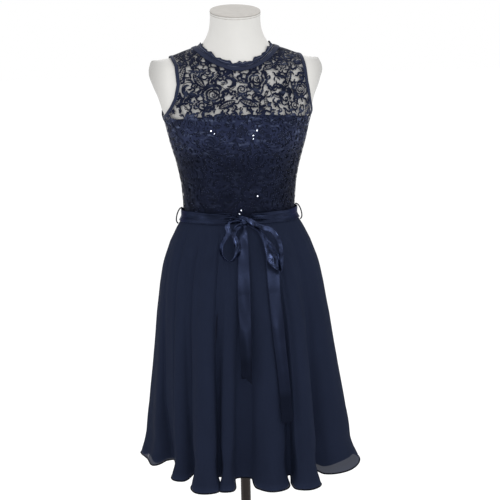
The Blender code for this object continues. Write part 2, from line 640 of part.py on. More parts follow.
def waist_ribbon(look):
    phi = np.linspace(-math.pi, math.pi, 37)[:-1]
    near_knot = np.exp(-((phi / 0.20) ** 2))
    half = BELT_HEIGHT / 2 * (1 - (1 - BELT_PINCH) * near_knot)
    middle = BELT_Z - BELT_DIP * near_knot
    grids = []
    for lift in (BELT_LIFT, BELT_LIFT + RIBBON):
        rows = []
        for share in (-1, 0, 1):
            z = middle + half * share
            flare = contour(SKIRT_RINGS, np.minimum(z, WAIST_Z), phi)
            bodice = over_body(WAIST + np.maximum(z - BELT_Z, 0) / 0.0535, phi, 0.0 * phi)
            bodice = np.hypot(bodice[:, 0], bodice[:, 1])
            radius = np.maximum(flare - 0.0021, bodice) + lift
            rows.append(np.stack([radius * np.sin(phi), -radius * np.cos(phi), z], -1))
        grids.append(np.array(rows))
    return wall("waist_ribbon", *grids, look, ring=True)


def ribbon(name, centres, across, widths, look, ends=(0.0, 0.0)):
    """A flat ribbon along its centre line, with each end cut on the slant."""
    centres, across = np.array(centres, float), np.array(across, float)
    widths = np.array(widths, float)[:, None]
    across /= np.linalg.norm(across, axis=1, keepdims=True)
    along = np.gradient(centres, axis=0)
    along /= np.linalg.norm(along, axis=1, keepdims=True)
    across -= along * np.sum(across * along, 1, keepdims=True)
    across /= np.linalg.norm(across, axis=1, keepdims=True)
    normal = np.cross(along, across)
    rows = []
    for share in (-0.5, 0.5):
        edge = centres + across * widths * share
        edge[0] += along[0] * ends[0] * share
        edge[-1] += along[-1] * ends[1] * share
        rows.append(edge)
    grid = np.array(rows)
    return wall(name, grid - normal * RIBBON / 2, grid + normal * RIBBON / 2, look)


def bow_loop(name, table, look):
    x, depth, z, ax, ad, az, width = np.array(table).T
    centres = np.stack([x, -depth, z], -1)
    ribbon(name, centres, np.stack([ax, -ad, az], -1), width, look)


def outline_depth(x, z):
    """How far forward the unfolded skirt reaches at a place across its front."""
    depth = 0.1
    for _ in range(30):
        phi = np.arctan2(x, depth)
        depth = contour(SKIRT_RINGS, z, phi) * np.cos(phi)
    return depth


def bow_tail(name, table, slant, look):
    at = np.linspace(0, len(table) - 1, 2 * len(table) - 1)
    x, z, width, lift = np.moveaxis(smooth_rows(table, at), -1, 0)
    depth = np.maximum(outline_depth(x, np.minimum(z, WAIST_Z)) + lift + 0.0005, 0.0985)
    centres = np.stack([x, -depth, z], -1)
    across = np.tile([1.0, 0.0, 0.0], (len(at), 1))
    return ribbon(name, centres, across, width, look, ends=(0.0, slant))


def knot(look):
    around, up = 14, 7
    points, faces = [], []
    centre, radii = np.array(KNOT_CENTRE), np.array(KNOT_RADII)
    points.append(centre - (0, 0, radii[2]))
    for row in range(1, up):
        high = -math.pi / 2 + math.pi * row / up
        for step in range(around):
            turn = 2 * math.pi * step / around
            level = math.cos(high)
            ring = np.array([math.cos(turn) * level, math.sin(turn) * level, math.sin(high)])
            points.append(centre + np.sign(ring) * np.abs(ring) ** 0.85 * radii)
    points.append(centre + (0, 0, radii[2]))
    last = len(points) - 1
    for step in range(around):
        ahead = (step + 1) % around
        faces.append((0, 1 + ahead, 1 + step))
        faces.append((last, last - around + step, last - around + ahead))
        for row in range(up - 2):
            a, b = 1 + row * around + step, 1 + row * around + ahead
            faces.append((a, b, b + around, a + around))
    return solid("bow_knot", points, faces, look)


def form_torso(look):
    neck_rows = np.linspace(NECKLINE, NECK_TOP, 9)[1:]
    rows = np.concatenate([HIP_ROWS, BODICE_ROWS, YOKE_ROWS, neck_rows])
    phi = np.linspace(-math.pi, math.pi, COLUMNS + 1)[:-1]
    t, angle = np.meshgrid(rows, phi, indexing="ij")
    grid = body(t, angle)
    count = len(phi)
    points = list(grid.reshape(-1, 3))
    faces = []
    for row in range(len(rows) - 1):
        for column in range(count):
            a, b = row * count + column, row * count + (column + 1) % count
            faces.append((a, b, b + count))
            faces.append((a, b + count, a + count))
    faces.append(tuple(reversed(range(count))))
    faces.append(tuple(range((len(rows) - 1) * count, len(rows) * count)))
    return solid("form_torso", points, faces, look)


def neck_cap(look):
    """A thin disc on the neck's slanted top, with a small bevel."""
    phi = np.linspace(-math.pi, math.pi, COLUMNS + 1)[:-1]
    rim = body(np.full_like(phi, NECK_TOP), phi)
    centre = rim.mean(axis=0)
    up = np.cross(rim[COLUMNS // 4] - centre, rim[COLUMNS // 2] - centre)
    up *= np.sign(up[2]) / np.linalg.norm(up)
    rings = ((0.985, SEAM), (1.0, SEAM + 0.001), (1.0, CAP_THICKNESS - 0.0012), (0.975, CAP_THICKNESS))
    points, faces = [], []
    for size, rise in rings:
        points.extend(centre + (rim - centre) * size + up * rise)
    count = len(phi)
    for row in range(len(rings) - 1):
        for column in range(count):
            a, b = row * count + column, row * count + (column + 1) % count
            faces.append((a, b, b + count, a + count))
    faces.append(tuple(reversed(range(count))))
    faces.append(tuple(range(len(points) - count, len(points))))
    return solid("form_neck_cap", points, faces, look)


def turned(name, profile, look, sides=40):
    """A round piece from (radius, height) pairs up its outer side, closed flat at both ends."""
    turn = 2 * math.pi * np.arange(sides) / sides
    points, faces = [], []
    for radius, height in profile:
        points.extend(np.stack([radius * np.cos(turn), radius * np.sin(turn), height + 0 * turn], -1))
    for row in range(len(profile) - 1):
        for side in range(sides):
            a, b = row * sides + side, row * sides + (side + 1) % sides
            faces.append((a, b, b + sides, a + sides))
    faces.append(tuple(reversed(range(sides))))
    faces.append(tuple(range(len(points) - sides, len(points))))
    return solid(name, points, faces, look)


def stand(look):
    bevel = 0.004
    turned(
        "stand_base",
        (
            (BASE_RADIUS - 0.002, 0.0),
            (BASE_RADIUS, 0.002),
            (BASE_RADIUS, BASE_HEIGHT - bevel),
            (BASE_RADIUS - bevel * 0.3, BASE_HEIGHT - bevel * 0.3),
            (BASE_RADIUS - bevel, BASE_HEIGHT),
        ),
        look,
        64,
    )
    socket = BASE_HEIGHT + SEAM
    turned(
        "stand_socket",
        (
            (0.032, socket),
            (0.032, socket + 0.004),
            (0.022, socket + 0.012),
            (0.0185, socket + 0.040),
            (0.0165, socket + 0.042),
        ),
        look,
    )
    pole_foot = socket + 0.042 + SEAM
    turned(
        "stand_pole",
        ((POLE_RADIUS, pole_foot), (POLE_RADIUS, POLE_TOP_Z - 0.012 - SEAM)),
        look,
        24,
    )
    turned(
        "stand_flange",
        (
            (0.0150, POLE_TOP_Z - 0.012),
            (0.0185, POLE_TOP_Z - 0.009),
            (0.0450, POLE_TOP_Z + 0.002),
            (0.0450, BODY_RINGS[0][5] - SEAM),
        ),
        look,
    )


def belt_loop(name, side, look):
    """A thread carrier over the ribbon at a side seam."""
    at = np.linspace(0, len(BELT_LOOP_PATH) - 1, 11)
    points = smooth_rows(BELT_LOOP_PATH, at)
    data = bpy.data.curves.new(name, "CURVE")
    data.dimensions = "3D"
    data.bevel_depth = 0.0007
    data.bevel_resolution = 0
    data.use_fill_caps = True
    data.materials.append(look)
    spline = data.splines.new("POLY")
    spline.points.add(len(points) - 1)
    for point, (x, z) in zip(spline.points, points):
        point.co = (side * x, 0.0, z, 1.0)
    obj = bpy.data.objects.new(name, data)
    bpy.context.scene.collection.objects.link(obj)
    return obj


def zip_strip(look):
    """The closed concealed zip: one narrow strip from the neckline down into the skirt's back seam."""
    rows = np.concatenate([BODICE_ROWS, YOKE_ROWS])[::-1]
    centre = np.full(len(rows), math.pi)
    inside = np.where(rows > CHEST, lace_lift(rows), LINING_LIFT)
    inside[-1] = 0.0024  # over the skirt lining's top
    inner = over_body(rows, centre, inside)
    outer = over_body(rows, centre, lace_lift(rows) + CLOTH)
    waist, angle, out, seams = skirt_columns()
    column = seams[2]
    skirt = []
    for share in np.linspace(0.012, ZIP_SKIRT_SHARE, 7):
        skirt.append(skirt_surface(share, waist, angle, out)[column])
    skirt = np.array(skirt)
    inner = np.concatenate([inner, skirt - (0, 0.0006, 0)])
    outer = np.concatenate([outer, skirt + (0, 0.0009, 0)])

    def both_edges(line):
        return np.stack([line + (ZIP_HALF_WIDTH, 0, 0), line - (ZIP_HALF_WIDTH, 0, 0)], axis=1)

    return wall("zip_strip", both_edges(inner), both_edges(outer), look)


def box_points(low, high):
    return [(x, y, z) for x in (low[0], high[0]) for y in (low[1], high[1]) for z in (low[2], high[2])]


BOX_FACES = ((0, 1, 3, 2), (4, 6, 7, 5), (0, 4, 5, 1), (2, 3, 7, 6), (0, 2, 6, 4), (1, 5, 7, 3))


def plate_with_hole(outline, hole, half, axis):
    """A plate with one hole; its outline and hole are loops with as many corners as each other."""
    points, faces = [], []
    count = len(outline)
    for loop in (outline, hole):
        for level in (-half, half):
            for a, b in loop:
                points.append((a, level, b) if axis == "y" else (level, a, b))
    for step in range(count):
        ahead = (step + 1) % count
        for level in (0, 1):
            o, h = level * count, (2 + level) * count
            quad = (o + step, o + ahead, h + ahead, h + step)
            faces.append(quad if level == 0 else tuple(reversed(quad)))
        faces.append((step, count + step, count + ahead, ahead))
        faces.append((2 * count + step, 2 * count + ahead, 3 * count + ahead, 3 * count + step))
    return points, faces


def empty(name, location, parent=None):
    made = bpy.data.objects.new(name, None)
    made.location = location
    made.parent = parent
    bpy.context.scene.collection.objects.link(made)
    return made


def zip_pull(metal):
    """The slider with its bridge, and the tab that swings on it about the hinge's empty."""
    point, _, _, normal = body_frame(np.array(ZIP_TOP), np.array(math.pi))
    face = point + normal * (lace_lift(ZIP_TOP) + CLOTH + SLIDER_CLEAR + SLIDER_DEPTH)
    frame = empty("zip_frame", face)
    frame.rotation_euler = (math.atan2(normal[2], normal[1]), 0, 0)
    hinge = empty("zip_hinge", (0, TAB_AXIS_RISE, 0), frame)

    half, length = SLIDER_WIDTH / 2, SLIDER_LENGTH / 2
    block = box_points((-half, -SLIDER_DEPTH, -length), (half, 0.0, length))
    slider = solid("zip_slider", block, BOX_FACES, metal, smooth=False)
    end = length - 0.0006
    low, high = -end + BRIDGE_POST, end - BRIDGE_POST
    under = BRIDGE_RISE - BRIDGE_POST
    arch = [(-0.0004, -end), (BRIDGE_RISE, -end), (BRIDGE_RISE, end), (-0.0004, end)]
    window = [(-0.0002, low), (under, low), (under, high), (-0.0002, high)]
    points, faces = plate_with_hole(arch, window, BRIDGE_WIDTH / 2, "x")
    bridge = solid("zip_bridge_tool", points, faces, metal, smooth=False)
    bridge.hide_render = True
    bridge.display_type = "WIRE"
    join = slider.modifiers.new("bridge", "BOOLEAN")
    join.operation = "UNION"
    join.object = bridge
    slider.parent = frame
    bridge.parent = frame

    wide, hole, top = TAB_WIDTH / 2, TAB_HOLE_WIDTH / 2, TAB_BAR / 2
    corner = 0.001
    outline = [
        (-wide, -TAB_LENGTH + corner),
        (-wide + corner, -TAB_LENGTH),
        (wide - corner, -TAB_LENGTH),
        (wide, -TAB_LENGTH + corner),
        (wide * 0.9, top),
        (-wide * 0.9, top),
    ]
    foot = -top - TAB_HOLE_LENGTH
    hole_loop = [
        (-hole, foot),
        (-hole * 0.5, foot),
        (hole * 0.5, foot),
        (hole, foot),
        (hole, -top),
        (-hole, -top),
    ]
    points, faces = plate_with_hole(outline, hole_loop, TAB_THICKNESS / 2, "y")
    tab = solid("zip_pull_tab", points, faces, metal, smooth=False)
    tab.parent = hinge


def main():
    clear_scene()
    chiffon = material("navy_chiffon", NAVY_CHIFFON, 0.85)
    lining = material("navy_lining", NAVY_CHIFFON, 0.6)
    lace = material("navy_lace", NAVY_LACE, 0.7)
    satin = material("navy_satin", NAVY_SATIN, 0.35)
    white = material("form_jersey", FORM_WHITE, 0.8)
    cap = material("form_cap", CAP_GREY, 0.6)
    wood = material("dark_wood", POLE_BROWN, 0.45)
    metal = material("zip_metal", ZIP_METAL, 0.4, 0.6)

    form_torso(white)
    neck_cap(cap)
    stand(wood)

    bodice_panel("bodice_lining_front", LINING_LIFT, BODICE_ROWS, "front", COLUMNS // 2 + 1, lining)
    whole = np.concatenate([BODICE_ROWS, YOKE_ROWS])
    bodice_panel("lace_front", lace_lift(whole), whole, "front", COLUMNS // 2 + 1, lace)
    for side, word in ((1, "right"), (-1, "left")):
        bodice_panel("bodice_lining_back_" + word, LINING_LIFT, BODICE_ROWS, side, COLUMNS // 4 + 1, lining)
        bodice_panel("lace_back_" + word, lace_lift(whole), whole, side, COLUMNS // 4 + 1, lace)
        armhole_binding("armhole_binding_" + word, side, satin)
        belt_loop("belt_loop_" + word, side, satin)
    tape_lift = CLOTH + TRIM_CLEAR
    neckline_strip("neckline_tape", -TAPE_WIDTH - 0.0005, TAPE_WIDTH, tape_lift, 2, COLUMNS, 0.0, satin, True)
    neckline_strip("neckline_ruffle", 0.0006, RUFFLE_WIDTH, RUFFLE_LIFT, 3, 40, 0.0020, satin)

    skirt_panels(chiffon)
    skirt_lining(lining)
    waist_ribbon(satin)
    knot(satin)
    bow_loop("bow_loop_left", LEFT_LOOP, satin)
    bow_loop("bow_loop_right", RIGHT_LOOP, satin)
    bow_tail("bow_tail_left", LEFT_TAIL, LEFT_TAIL_SLANT, satin)
    bow_tail("bow_tail_right", RIGHT_TAIL, RIGHT_TAIL_SLANT, satin)
    zip_strip(satin)
    zip_pull(metal)


main()
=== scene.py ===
"""Looks of the navy cocktail dress on its limbless dress form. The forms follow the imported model's rings
and tables; metres, +Z up, front towards -Y."""

import math

import bpy
import numpy as np
from mathutils import Matrix, Vector
from mathutils.bvhtree import BVHTree


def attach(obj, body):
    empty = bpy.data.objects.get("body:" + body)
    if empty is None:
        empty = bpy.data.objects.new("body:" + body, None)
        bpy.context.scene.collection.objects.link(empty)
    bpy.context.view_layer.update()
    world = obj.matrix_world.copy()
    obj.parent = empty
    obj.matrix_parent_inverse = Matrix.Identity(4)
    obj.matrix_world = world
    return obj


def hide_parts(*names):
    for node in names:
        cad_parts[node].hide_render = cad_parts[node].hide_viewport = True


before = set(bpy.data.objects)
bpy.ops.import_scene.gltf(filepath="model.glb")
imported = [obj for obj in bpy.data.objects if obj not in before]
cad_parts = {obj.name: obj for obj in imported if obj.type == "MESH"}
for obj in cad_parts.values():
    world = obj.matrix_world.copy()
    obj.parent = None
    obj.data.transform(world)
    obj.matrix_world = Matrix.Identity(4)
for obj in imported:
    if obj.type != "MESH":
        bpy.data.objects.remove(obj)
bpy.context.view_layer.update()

BODY = "dress_and_stand"
MM = 0.001

# ---- camera, as the photograph was taken
CAMERA_AZIMUTH = math.radians(-6.0)
CAMERA_DISTANCE = 2.6
CAMERA_HEIGHT = 1.42
CAMERA_SIDE = 0.0210
CAMERA_PITCH = math.radians(10.0)
CAMERA_ROLL = math.radians(1.256)
CAMERA_FOCUS = 1228.0  # focal length in pixels of the 500 pixel frame
FRAME_PIXELS = 500.0

# ---- lifts of the layers off the form, and their widths
LINING_LIFT = 0.0019
LACE_MIDDLE = 0.0005
TAPE_LIFT = 0.0023
RUFFLE_LIFT = 0.0020
TAPE_WIDTH = 0.0115
RUFFLE_WIDTH = 0.0088
BINDING_WIDTH = 0.0075
ZIP_HALF_WIDTH = 0.0025
SEAM = 0.0003
STITCH_RADIUS = 0.00022

# ---- the ribbon round the waist
BELT_LIFT = 0.0057
BELT_HEIGHT = 0.0235
BELT_PINCH = 0.42  # share of its height that is left under the knot
BELT_Z = 1.0440
BELT_DIP = 0.0035  # how far it sags under the knot
BELT_RISE = 0.0535  # height of the form's next ring over its waist
BELT_INSET = 0.0021  # of the skirt's outline at the waist, so that ribbon and bodice meet
PLEAT_HEIGHT = 0.0028

# ---- the skirt
WAIST_Z = 1.0435
HEM_Z = 0.507
SWAY = 0.005
FOLD_START = 0.08  # share of the length above which there are no folds
FOLD_POWER = 1.25
FREE_ROOM = 0.2  # how far a fold may reach in below the form
FREE_START = 0.70
SKIRT_CLEAR = 0.006
FOLD_COLUMNS = 7
CHIFFON_PITCH = 0.0055  # between the columns of its mesh, at the hem
SLIP_PITCH = 0.0075
CREST_FROM = 0.182  # distance of the hem from the axis at which a fold starts
CREST_SPAN = 0.03
BELL_START = 0.945  # share of the length at which the hem starts to curl out
BELL_REACH = 0.0034
NECK_SHARE = 0.915  # the folds are drawn in above the curl, most at this share of the length
NECK_WIDTH = 0.055
NECK_REACH = 0.0042
VALLEY_RISE = 0.0085  # the hem hangs higher between the folds
ZIP_SKIRT_SHARE = 0.26  # how far down the skirt the zip runs
NECK_CAP = 0.004

# ---- walls of the cloths, and the radii of their rolled edges
LINING_WALL = 0.0006
TAPE_WALL = 0.0007
RUFFLE_WALL = 0.0006
SLIP_WALL = 0.0004
RIBBON_WALL = 0.0005
ZIP_WALL = 0.0004
EDGE_ROLL = 0.0007
CHIFFON_ROLL = 0.0016

# ---- sizes that the sheets were cut to
CHIFFON_CUTS = {"front": (1.15, 0.62), "back_right": (0.62, 0.57), "back_left": (0.59, 0.57)}

BODY_RINGS = (
    # name        half    front    back    mid    z_front z_side  z_back  square
    ("rim",       0.112, -0.064,  0.084,  0.008,  0.7880, 0.7880, 0.7880, 2.30),
    ("seat",      0.149, -0.089,  0.112,  0.008,  0.8030, 0.8030, 0.8030, 2.40),
    ("hip",       0.160, -0.099,  0.119,  0.006,  0.8620, 0.8620, 0.8620, 2.40),
    ("high_hip",  0.1525, -0.099, 0.104,  0.003,  0.9350, 0.9350, 0.9350, 2.40),
    ("low_waist", 0.1335, -0.090, 0.086,  0.000,  0.9880, 0.9880, 0.9880, 2.30),
    ("waist",     0.1165, -0.083, 0.076,  0.000,  1.0440, 1.0440, 1.0440, 2.20),
    ("rib",       0.1172, -0.087, 0.080,  0.000,  1.0960, 1.0990, 1.1000, 2.20),
    ("midriff",   0.1255, -0.094, 0.089,  0.000,  1.1480, 1.1490, 1.1520, 2.25),
    ("bust",      0.1410, -0.105, 0.098,  0.000,  1.2100, 1.2060, 1.2120, 2.30),
    ("chest",     0.1495, -0.106, 0.101,  0.000,  1.2570, 1.2460, 1.2580, 2.35),
    ("armpit",    0.1580, -0.101, 0.100,  0.002,  1.2790, 1.2680, 1.2790, 2.35),
    ("arm_low",   0.1650, -0.096, 0.097,  0.004,  1.2960, 1.2915, 1.2980, 2.30),
    ("arm_mid",   0.1750, -0.090, 0.092,  0.006,  1.3120, 1.3165, 1.3180, 2.30),
    ("arm_tip",   0.1830, -0.084, 0.086,  0.008,  1.3250, 1.3435, 1.3370, 2.20),
    ("arm_top",   0.1755, -0.080, 0.080,  0.010,  1.3340, 1.3640, 1.3520, 2.15),
    ("arm_ridge", 0.1545, -0.077, 0.074,  0.011,  1.3400, 1.3705, 1.3640, 2.10),
    ("shoulder",  0.1310, -0.074, 0.069,  0.011,  1.3450, 1.3745, 1.3730, 2.05),
    ("collar",    0.1040, -0.071, 0.064,  0.010,  1.3490, 1.3850, 1.3810, 2.00),
    ("neckline",  0.0800, -0.068, 0.060,  0.008,  1.3520, 1.3940, 1.3890, 2.00),
    ("neck_root", 0.0660, -0.061, 0.054,  0.004,  1.3690, 1.4060, 1.4060, 2.00),
    ("neck_low",  0.0562, -0.056, 0.048,  0.000,  1.3950, 1.4260, 1.4300, 2.00),
    ("neck_mid",  0.0528, -0.056, 0.0455, -0.004, 1.4300, 1.4450, 1.4600, 2.00),
    ("neck_top",  0.0522, -0.060, 0.0440, -0.008, 1.4520, 1.4650, 1.4780, 2.00),
)
RING_NUMBER = {row[0]: number for number, row in enumerate(BODY_RINGS)}
WAIST = RING_NUMBER["waist"]
CHEST = RING_NUMBER["chest"]
SHOULDER = RING_NUMBER["shoulder"]
NECKLINE = RING_NUMBER["neckline"]
NECK_LOW = RING_NUMBER["neck_low"]
NECK_TOP = RING_NUMBER["neck_top"]

BUST_X = 0.070
BUST_Z = 1.213
BUST_REACH = 0.048
BUST_RISE = 0.017

ARMHOLE_CUT = (
    # height  left    right   back
    (1.2460, 0.1500, 0.1500, 0.1500),
    (1.2520, 0.1478, 0.1500, 0.1505),
    (1.2700, 0.1370, 0.1460, 0.1475),
    (1.2900, 0.1275, 0.1420, 0.1440),
    (1.3200, 0.1210, 0.1355, 0.1375),
    (1.3550, 0.1235, 0.1325, 0.1320),
    (1.3745, 0.1310, 0.1310, 0.1310),
)
LACE_DRAPE = (
    # ring  lift
    (5.0, 0.0032),
    (8.4, 0.0032),
    (9.0, 0.0045),
    (9.6, 0.0038),
    (10.5, 0.0030),
    (14.0, 0.0026),
    (16.0, 0.0028),
    (17.0, 0.0021),
    (18.0, 0.0014),
)
SKIRT_RINGS = (
    # name         z       half    front    back   square
    ("seam",      1.0435, 0.1205, 0.0865, 0.0795, 2.20),
    ("over_hip",  1.0130, 0.1365, 0.0985, 0.0930, 2.25),
    ("high_hip",  0.9840, 0.1510, 0.1120, 0.1080, 2.30),
    ("hip",       0.9400, 0.1670, 0.1330, 0.1300, 2.25),
    ("low_hip",   0.8960, 0.1765, 0.1520, 0.1480, 2.20),
    ("thigh",     0.8295, 0.1870, 0.1790, 0.1700, 2.10),
    ("mid",       0.7400, 0.1985, 0.2030, 0.1890, 2.05),
    ("knee",      0.6270, 0.2145, 0.2280, 0.2080, 2.00),
    ("low",       0.5580, 0.2255, 0.2420, 0.2190, 2.00),
    ("hem",       0.5070, 0.2360, 0.2520, 0.2280, 2.00),
)
FOLDS = (
    # name        v_deg  v_out  v_half   l_deg  l_out   c_deg  c_out   r_deg  r_out  bulge
    ("back_5",   -163.0, 0.165, 0.0040, -158.0, 0.221, -149.0, 0.236, -141.0, 0.225, 0.004),
    ("back_6",   -136.0, 0.170, 0.0040, -132.0, 0.221, -126.0, 0.232, -121.0, 0.223, 0.003),
    ("side_left", -116.5, 0.178, 0.0040, -111.0, 0.228, -101.0, 0.236, -76.0, 0.212, -0.009),
    ("front_1",   -74.0, 0.160, 0.0040, -57.3, 0.191, -50.6, 0.220, -43.6, 0.213, 0.004),
    ("front_2",   -41.0, 0.178, 0.0035, -34.5, 0.237, -28.0, 0.262, -20.3, 0.244, 0.004),
    ("front_3",   -24.0, 0.172, 0.0030, -19.3, 0.238, -16.0, 0.238, -13.2, 0.231, 0.002),
    ("front_4",    -8.5, 0.174, 0.0130, -1.0, 0.212,   6.0, 0.247,  14.8, 0.234, 0.004),
    ("front_5",    21.0, 0.184, 0.0035, 17.8, 0.252,  23.0, 0.267,  29.8, 0.256, 0.002),
    ("front_6",    39.0, 0.184, 0.0040, 43.8, 0.226,  56.0, 0.250,  76.0, 0.2405, 0.005),
    ("side_right", 89.5, 0.190, 0.0045, 97.0, 0.229, 106.0, 0.239, 115.0, 0.227, 0.004),
    ("back_1",    120.5, 0.172, 0.0040, 125.0, 0.222, 134.0, 0.238, 143.0, 0.226, 0.004),
    ("back_2",    148.0, 0.166, 0.0040, 152.0, 0.217, 156.5, 0.227, 161.0, 0.220, 0.002),
    ("back_3",    166.0, 0.172, 0.0040, 171.0, 0.222, 180.0, 0.230, 189.0, 0.224, 0.004),
)
INSIDE_RINGS = (
    # name      z       half    front   back   square
    ("seam",   1.0435, 0.1187, 0.0847, 0.0777, 2.2),
    ("waist",  0.9880, 0.1352, 0.0922, 0.0882, 2.3),
    ("hip",    0.9350, 0.1545, 0.1015, 0.1065, 2.4),
    ("seat",   0.8620, 0.1625, 0.1030, 0.1220, 2.4),
    ("foot",   0.5700, 0.1630, 0.1120, 0.1270, 2.2),
)
LINING_GAP = (
    # share   gap
    (0.00, 0.0021),
    (0.14, 0.0045),
    (0.46, 0.0045),
    (0.72, 0.0035),
    (1.00, 0.0016),
)
LINING_RISE = 0.0018
LINING_FLARES = (
    # degrees spread rise (where the hem flares and the slip ends higher)
    (60.0, 20.0, 0.0245),
    (-85.0, 8.0, 0.0120),
)

# Soft ridges and troughs of the chiffon besides its folds: where on the waist, where on the length they
# start and end, their half width round the waist, and how far they stand out.
CREASES = (
    # degrees start  end   width  height
    (-84.0, 0.02, 0.62, 3.2, -0.0022),
    (-73.0, 0.00, 1.05, 2.6, 0.0020),
    (-65.5, 0.00, 1.05, 1.4, -0.0050),
    (-51.5, 0.03, 1.05, 1.4, -0.0048),
    (-43.5, 0.00, 1.05, 2.0, -0.0030),
    (-37.0, 0.00, 0.48, 2.2, 0.0018),
    (-29.5, 0.00, 1.05, 1.2, -0.0050),
    (-22.0, 0.00, 0.60, 2.4, 0.0020),
    (-13.5, 0.04, 0.90, 2.0, -0.0022),
    (-6.0, 0.00, 0.70, 2.2, 0.0015),
    (3.5, 0.06, 1.05, 2.0, -0.0026),
    (11.0, 0.00, 0.66, 2.6, 0.0018),
    (19.0, 0.03, 1.05, 2.0, -0.0020),
    (27.5, 0.00, 0.58, 2.2, 0.0019),
    (36.0, 0.00, 1.05, 1.4, -0.0044),
    (44.0, 0.00, 0.70, 2.6, 0.0016),
    (55.0, 0.00, 0.92, 2.4, -0.0036),
    (66.0, 0.00, 0.80, 2.8, 0.0021),
    (79.0, 0.02, 1.05, 2.6, -0.0022),
    (98.0, 0.03, 0.85, 3.0, -0.0024),
    (112.0, 0.00, 0.70, 2.6, 0.0020),
    (127.0, 0.04, 1.05, 2.4, -0.0026),
    (141.0, 0.00, 0.66, 2.8, 0.0018),
    (158.0, 0.05, 1.05, 2.4, -0.0024),
    (169.0, 0.00, 0.55, 2.2, 0.0016),
    (192.0, 0.02, 0.95, 2.4, -0.0024),
    (205.0, 0.00, 0.60, 2.6, 0.0019),
    (219.0, 0.04, 1.05, 2.4, -0.0026),
    (233.0, 0.00, 0.74, 2.8, 0.0018),
    (247.0, 0.03, 1.05, 2.6, -0.0022),
    (259.0, 0.00, 0.62, 2.6, 0.0018),
)

LEFT_LOOP = (
    # x       depth   z       across_x, across_depth, across_z  width
    (-0.0030, 0.1003, 1.0400, 0.10, 0.60, 0.80, 0.010),
    (-0.0168, 0.1090, 1.0430, 0.10, 0.75, 0.70, 0.013),
    (-0.0308, 0.1150, 1.0417, 0.10, 0.75, 0.60, 0.014),
    (-0.0370, 0.1190, 1.0328, 0.90, 0.30, 0.20, 0.012),
    (-0.0350, 0.1235, 1.0211, 0.90, 0.35, 0.05, 0.011),
    (-0.0425, 0.1285, 1.0098, 0.45, 0.90, 0.05, 0.014),
    (-0.0508, 0.1330, 0.9954, 0.24, 0.97, 0.00, 0.018),
    (-0.0511, 0.1365, 0.9799, 0.18, 0.98, 0.05, 0.020),
    (-0.0434, 0.1385, 0.9675, 0.10, 0.95, 0.25, 0.020),
    (-0.0316, 0.1390, 0.9650, -0.25, 0.92, 0.30, 0.020),
    (-0.0217, 0.1380, 0.9744, -0.65, 0.75, 0.10, 0.018),
    (-0.0176, 0.1350, 0.9892, -0.90, 0.40, 0.00, 0.0155),
    (-0.0199, 0.1310, 1.0041, -0.95, 0.25, 0.00, 0.0145),
    (-0.0238, 0.1260, 1.0169, -0.90, 0.35, 0.10, 0.012),
    (-0.0191, 0.1180, 1.0275, -0.70, 0.00, 0.60, 0.011),
    (-0.0110, 0.1100, 1.0320, -0.45, -0.20, 0.80, 0.012),
    (-0.0020, 0.1030, 1.0345, -0.20, 0.00, 0.85, 0.009),
)
RIGHT_LOOP = (
    # x      depth   z       across_x, across_depth, across_z  width
    (-0.0165, 0.0968, 1.0488, 0.10, 0.00, 0.95, 0.004),
    (-0.0060, 0.1060, 1.0492, 0.10, -0.05, 0.95, 0.006),
    (0.0045, 0.1095, 1.0455, 0.25, -0.10, 0.90, 0.0085),
    (0.0118, 0.1100, 1.0405, 0.30, -0.20, 0.90, 0.010),
    (0.0185, 0.1120, 1.0368, 0.30, -0.20, 0.90, 0.011),
    (0.0281, 0.1200, 1.0315, 0.35, 0.30, 0.80, 0.010),
    (0.0383, 0.1290, 1.0292, 0.30, -0.10, 0.90, 0.011),
    (0.0486, 0.1370, 1.0268, 0.45, 0.00, 0.85, 0.010),
    (0.0579, 0.1430, 1.0183, 0.80, 0.05, 0.55, 0.009),
    (0.0653, 0.1470, 1.0042, 0.93, 0.10, 0.25, 0.008),
    (0.0685, 0.1500, 0.9873, 0.95, 0.20, 0.05, 0.008),
    (0.0684, 0.1520, 0.9640, 0.75, 0.65, 0.00, 0.010),
    (0.0672, 0.1530, 0.9440, 0.15, 0.97, 0.10, 0.013),
    (0.0622, 0.1512, 0.9500, -0.70, 0.70, 0.00, 0.019),
    (0.0545, 0.1475, 0.9665, -0.94, 0.25, -0.22, 0.027),
    (0.0462, 0.1415, 0.9835, -0.85, 0.52, -0.05, 0.022),
    (0.0388, 0.1332, 1.0025, -0.65, 0.74, 0.25, 0.015),
    (0.0297, 0.1220, 1.0214, -0.30, 0.80, 0.45, 0.010),
    (0.0078, 0.1018, 1.0340, 0.00, 0.75, 0.65, 0.009),
)
LEFT_TAIL = (
    # x      z       width  lift (clear of the skirt's outline)
    (0.0004, 1.0305, 0.0080, 0.0055),
    (-0.0009, 1.0210, 0.0140, 0.0055),
    (-0.0025, 1.0098, 0.0170, 0.0050),
    (-0.0036, 0.9940, 0.0200, 0.0045),
    (-0.0058, 0.9645, 0.0245, 0.0040),
    (-0.0092, 0.8956, 0.0275, 0.0035),
    (-0.0105, 0.8400, 0.0260, 0.0035),
    (-0.0118, 0.7850, 0.0235, 0.0035),
    (-0.0130, 0.7330, 0.0205, 0.0035),
)
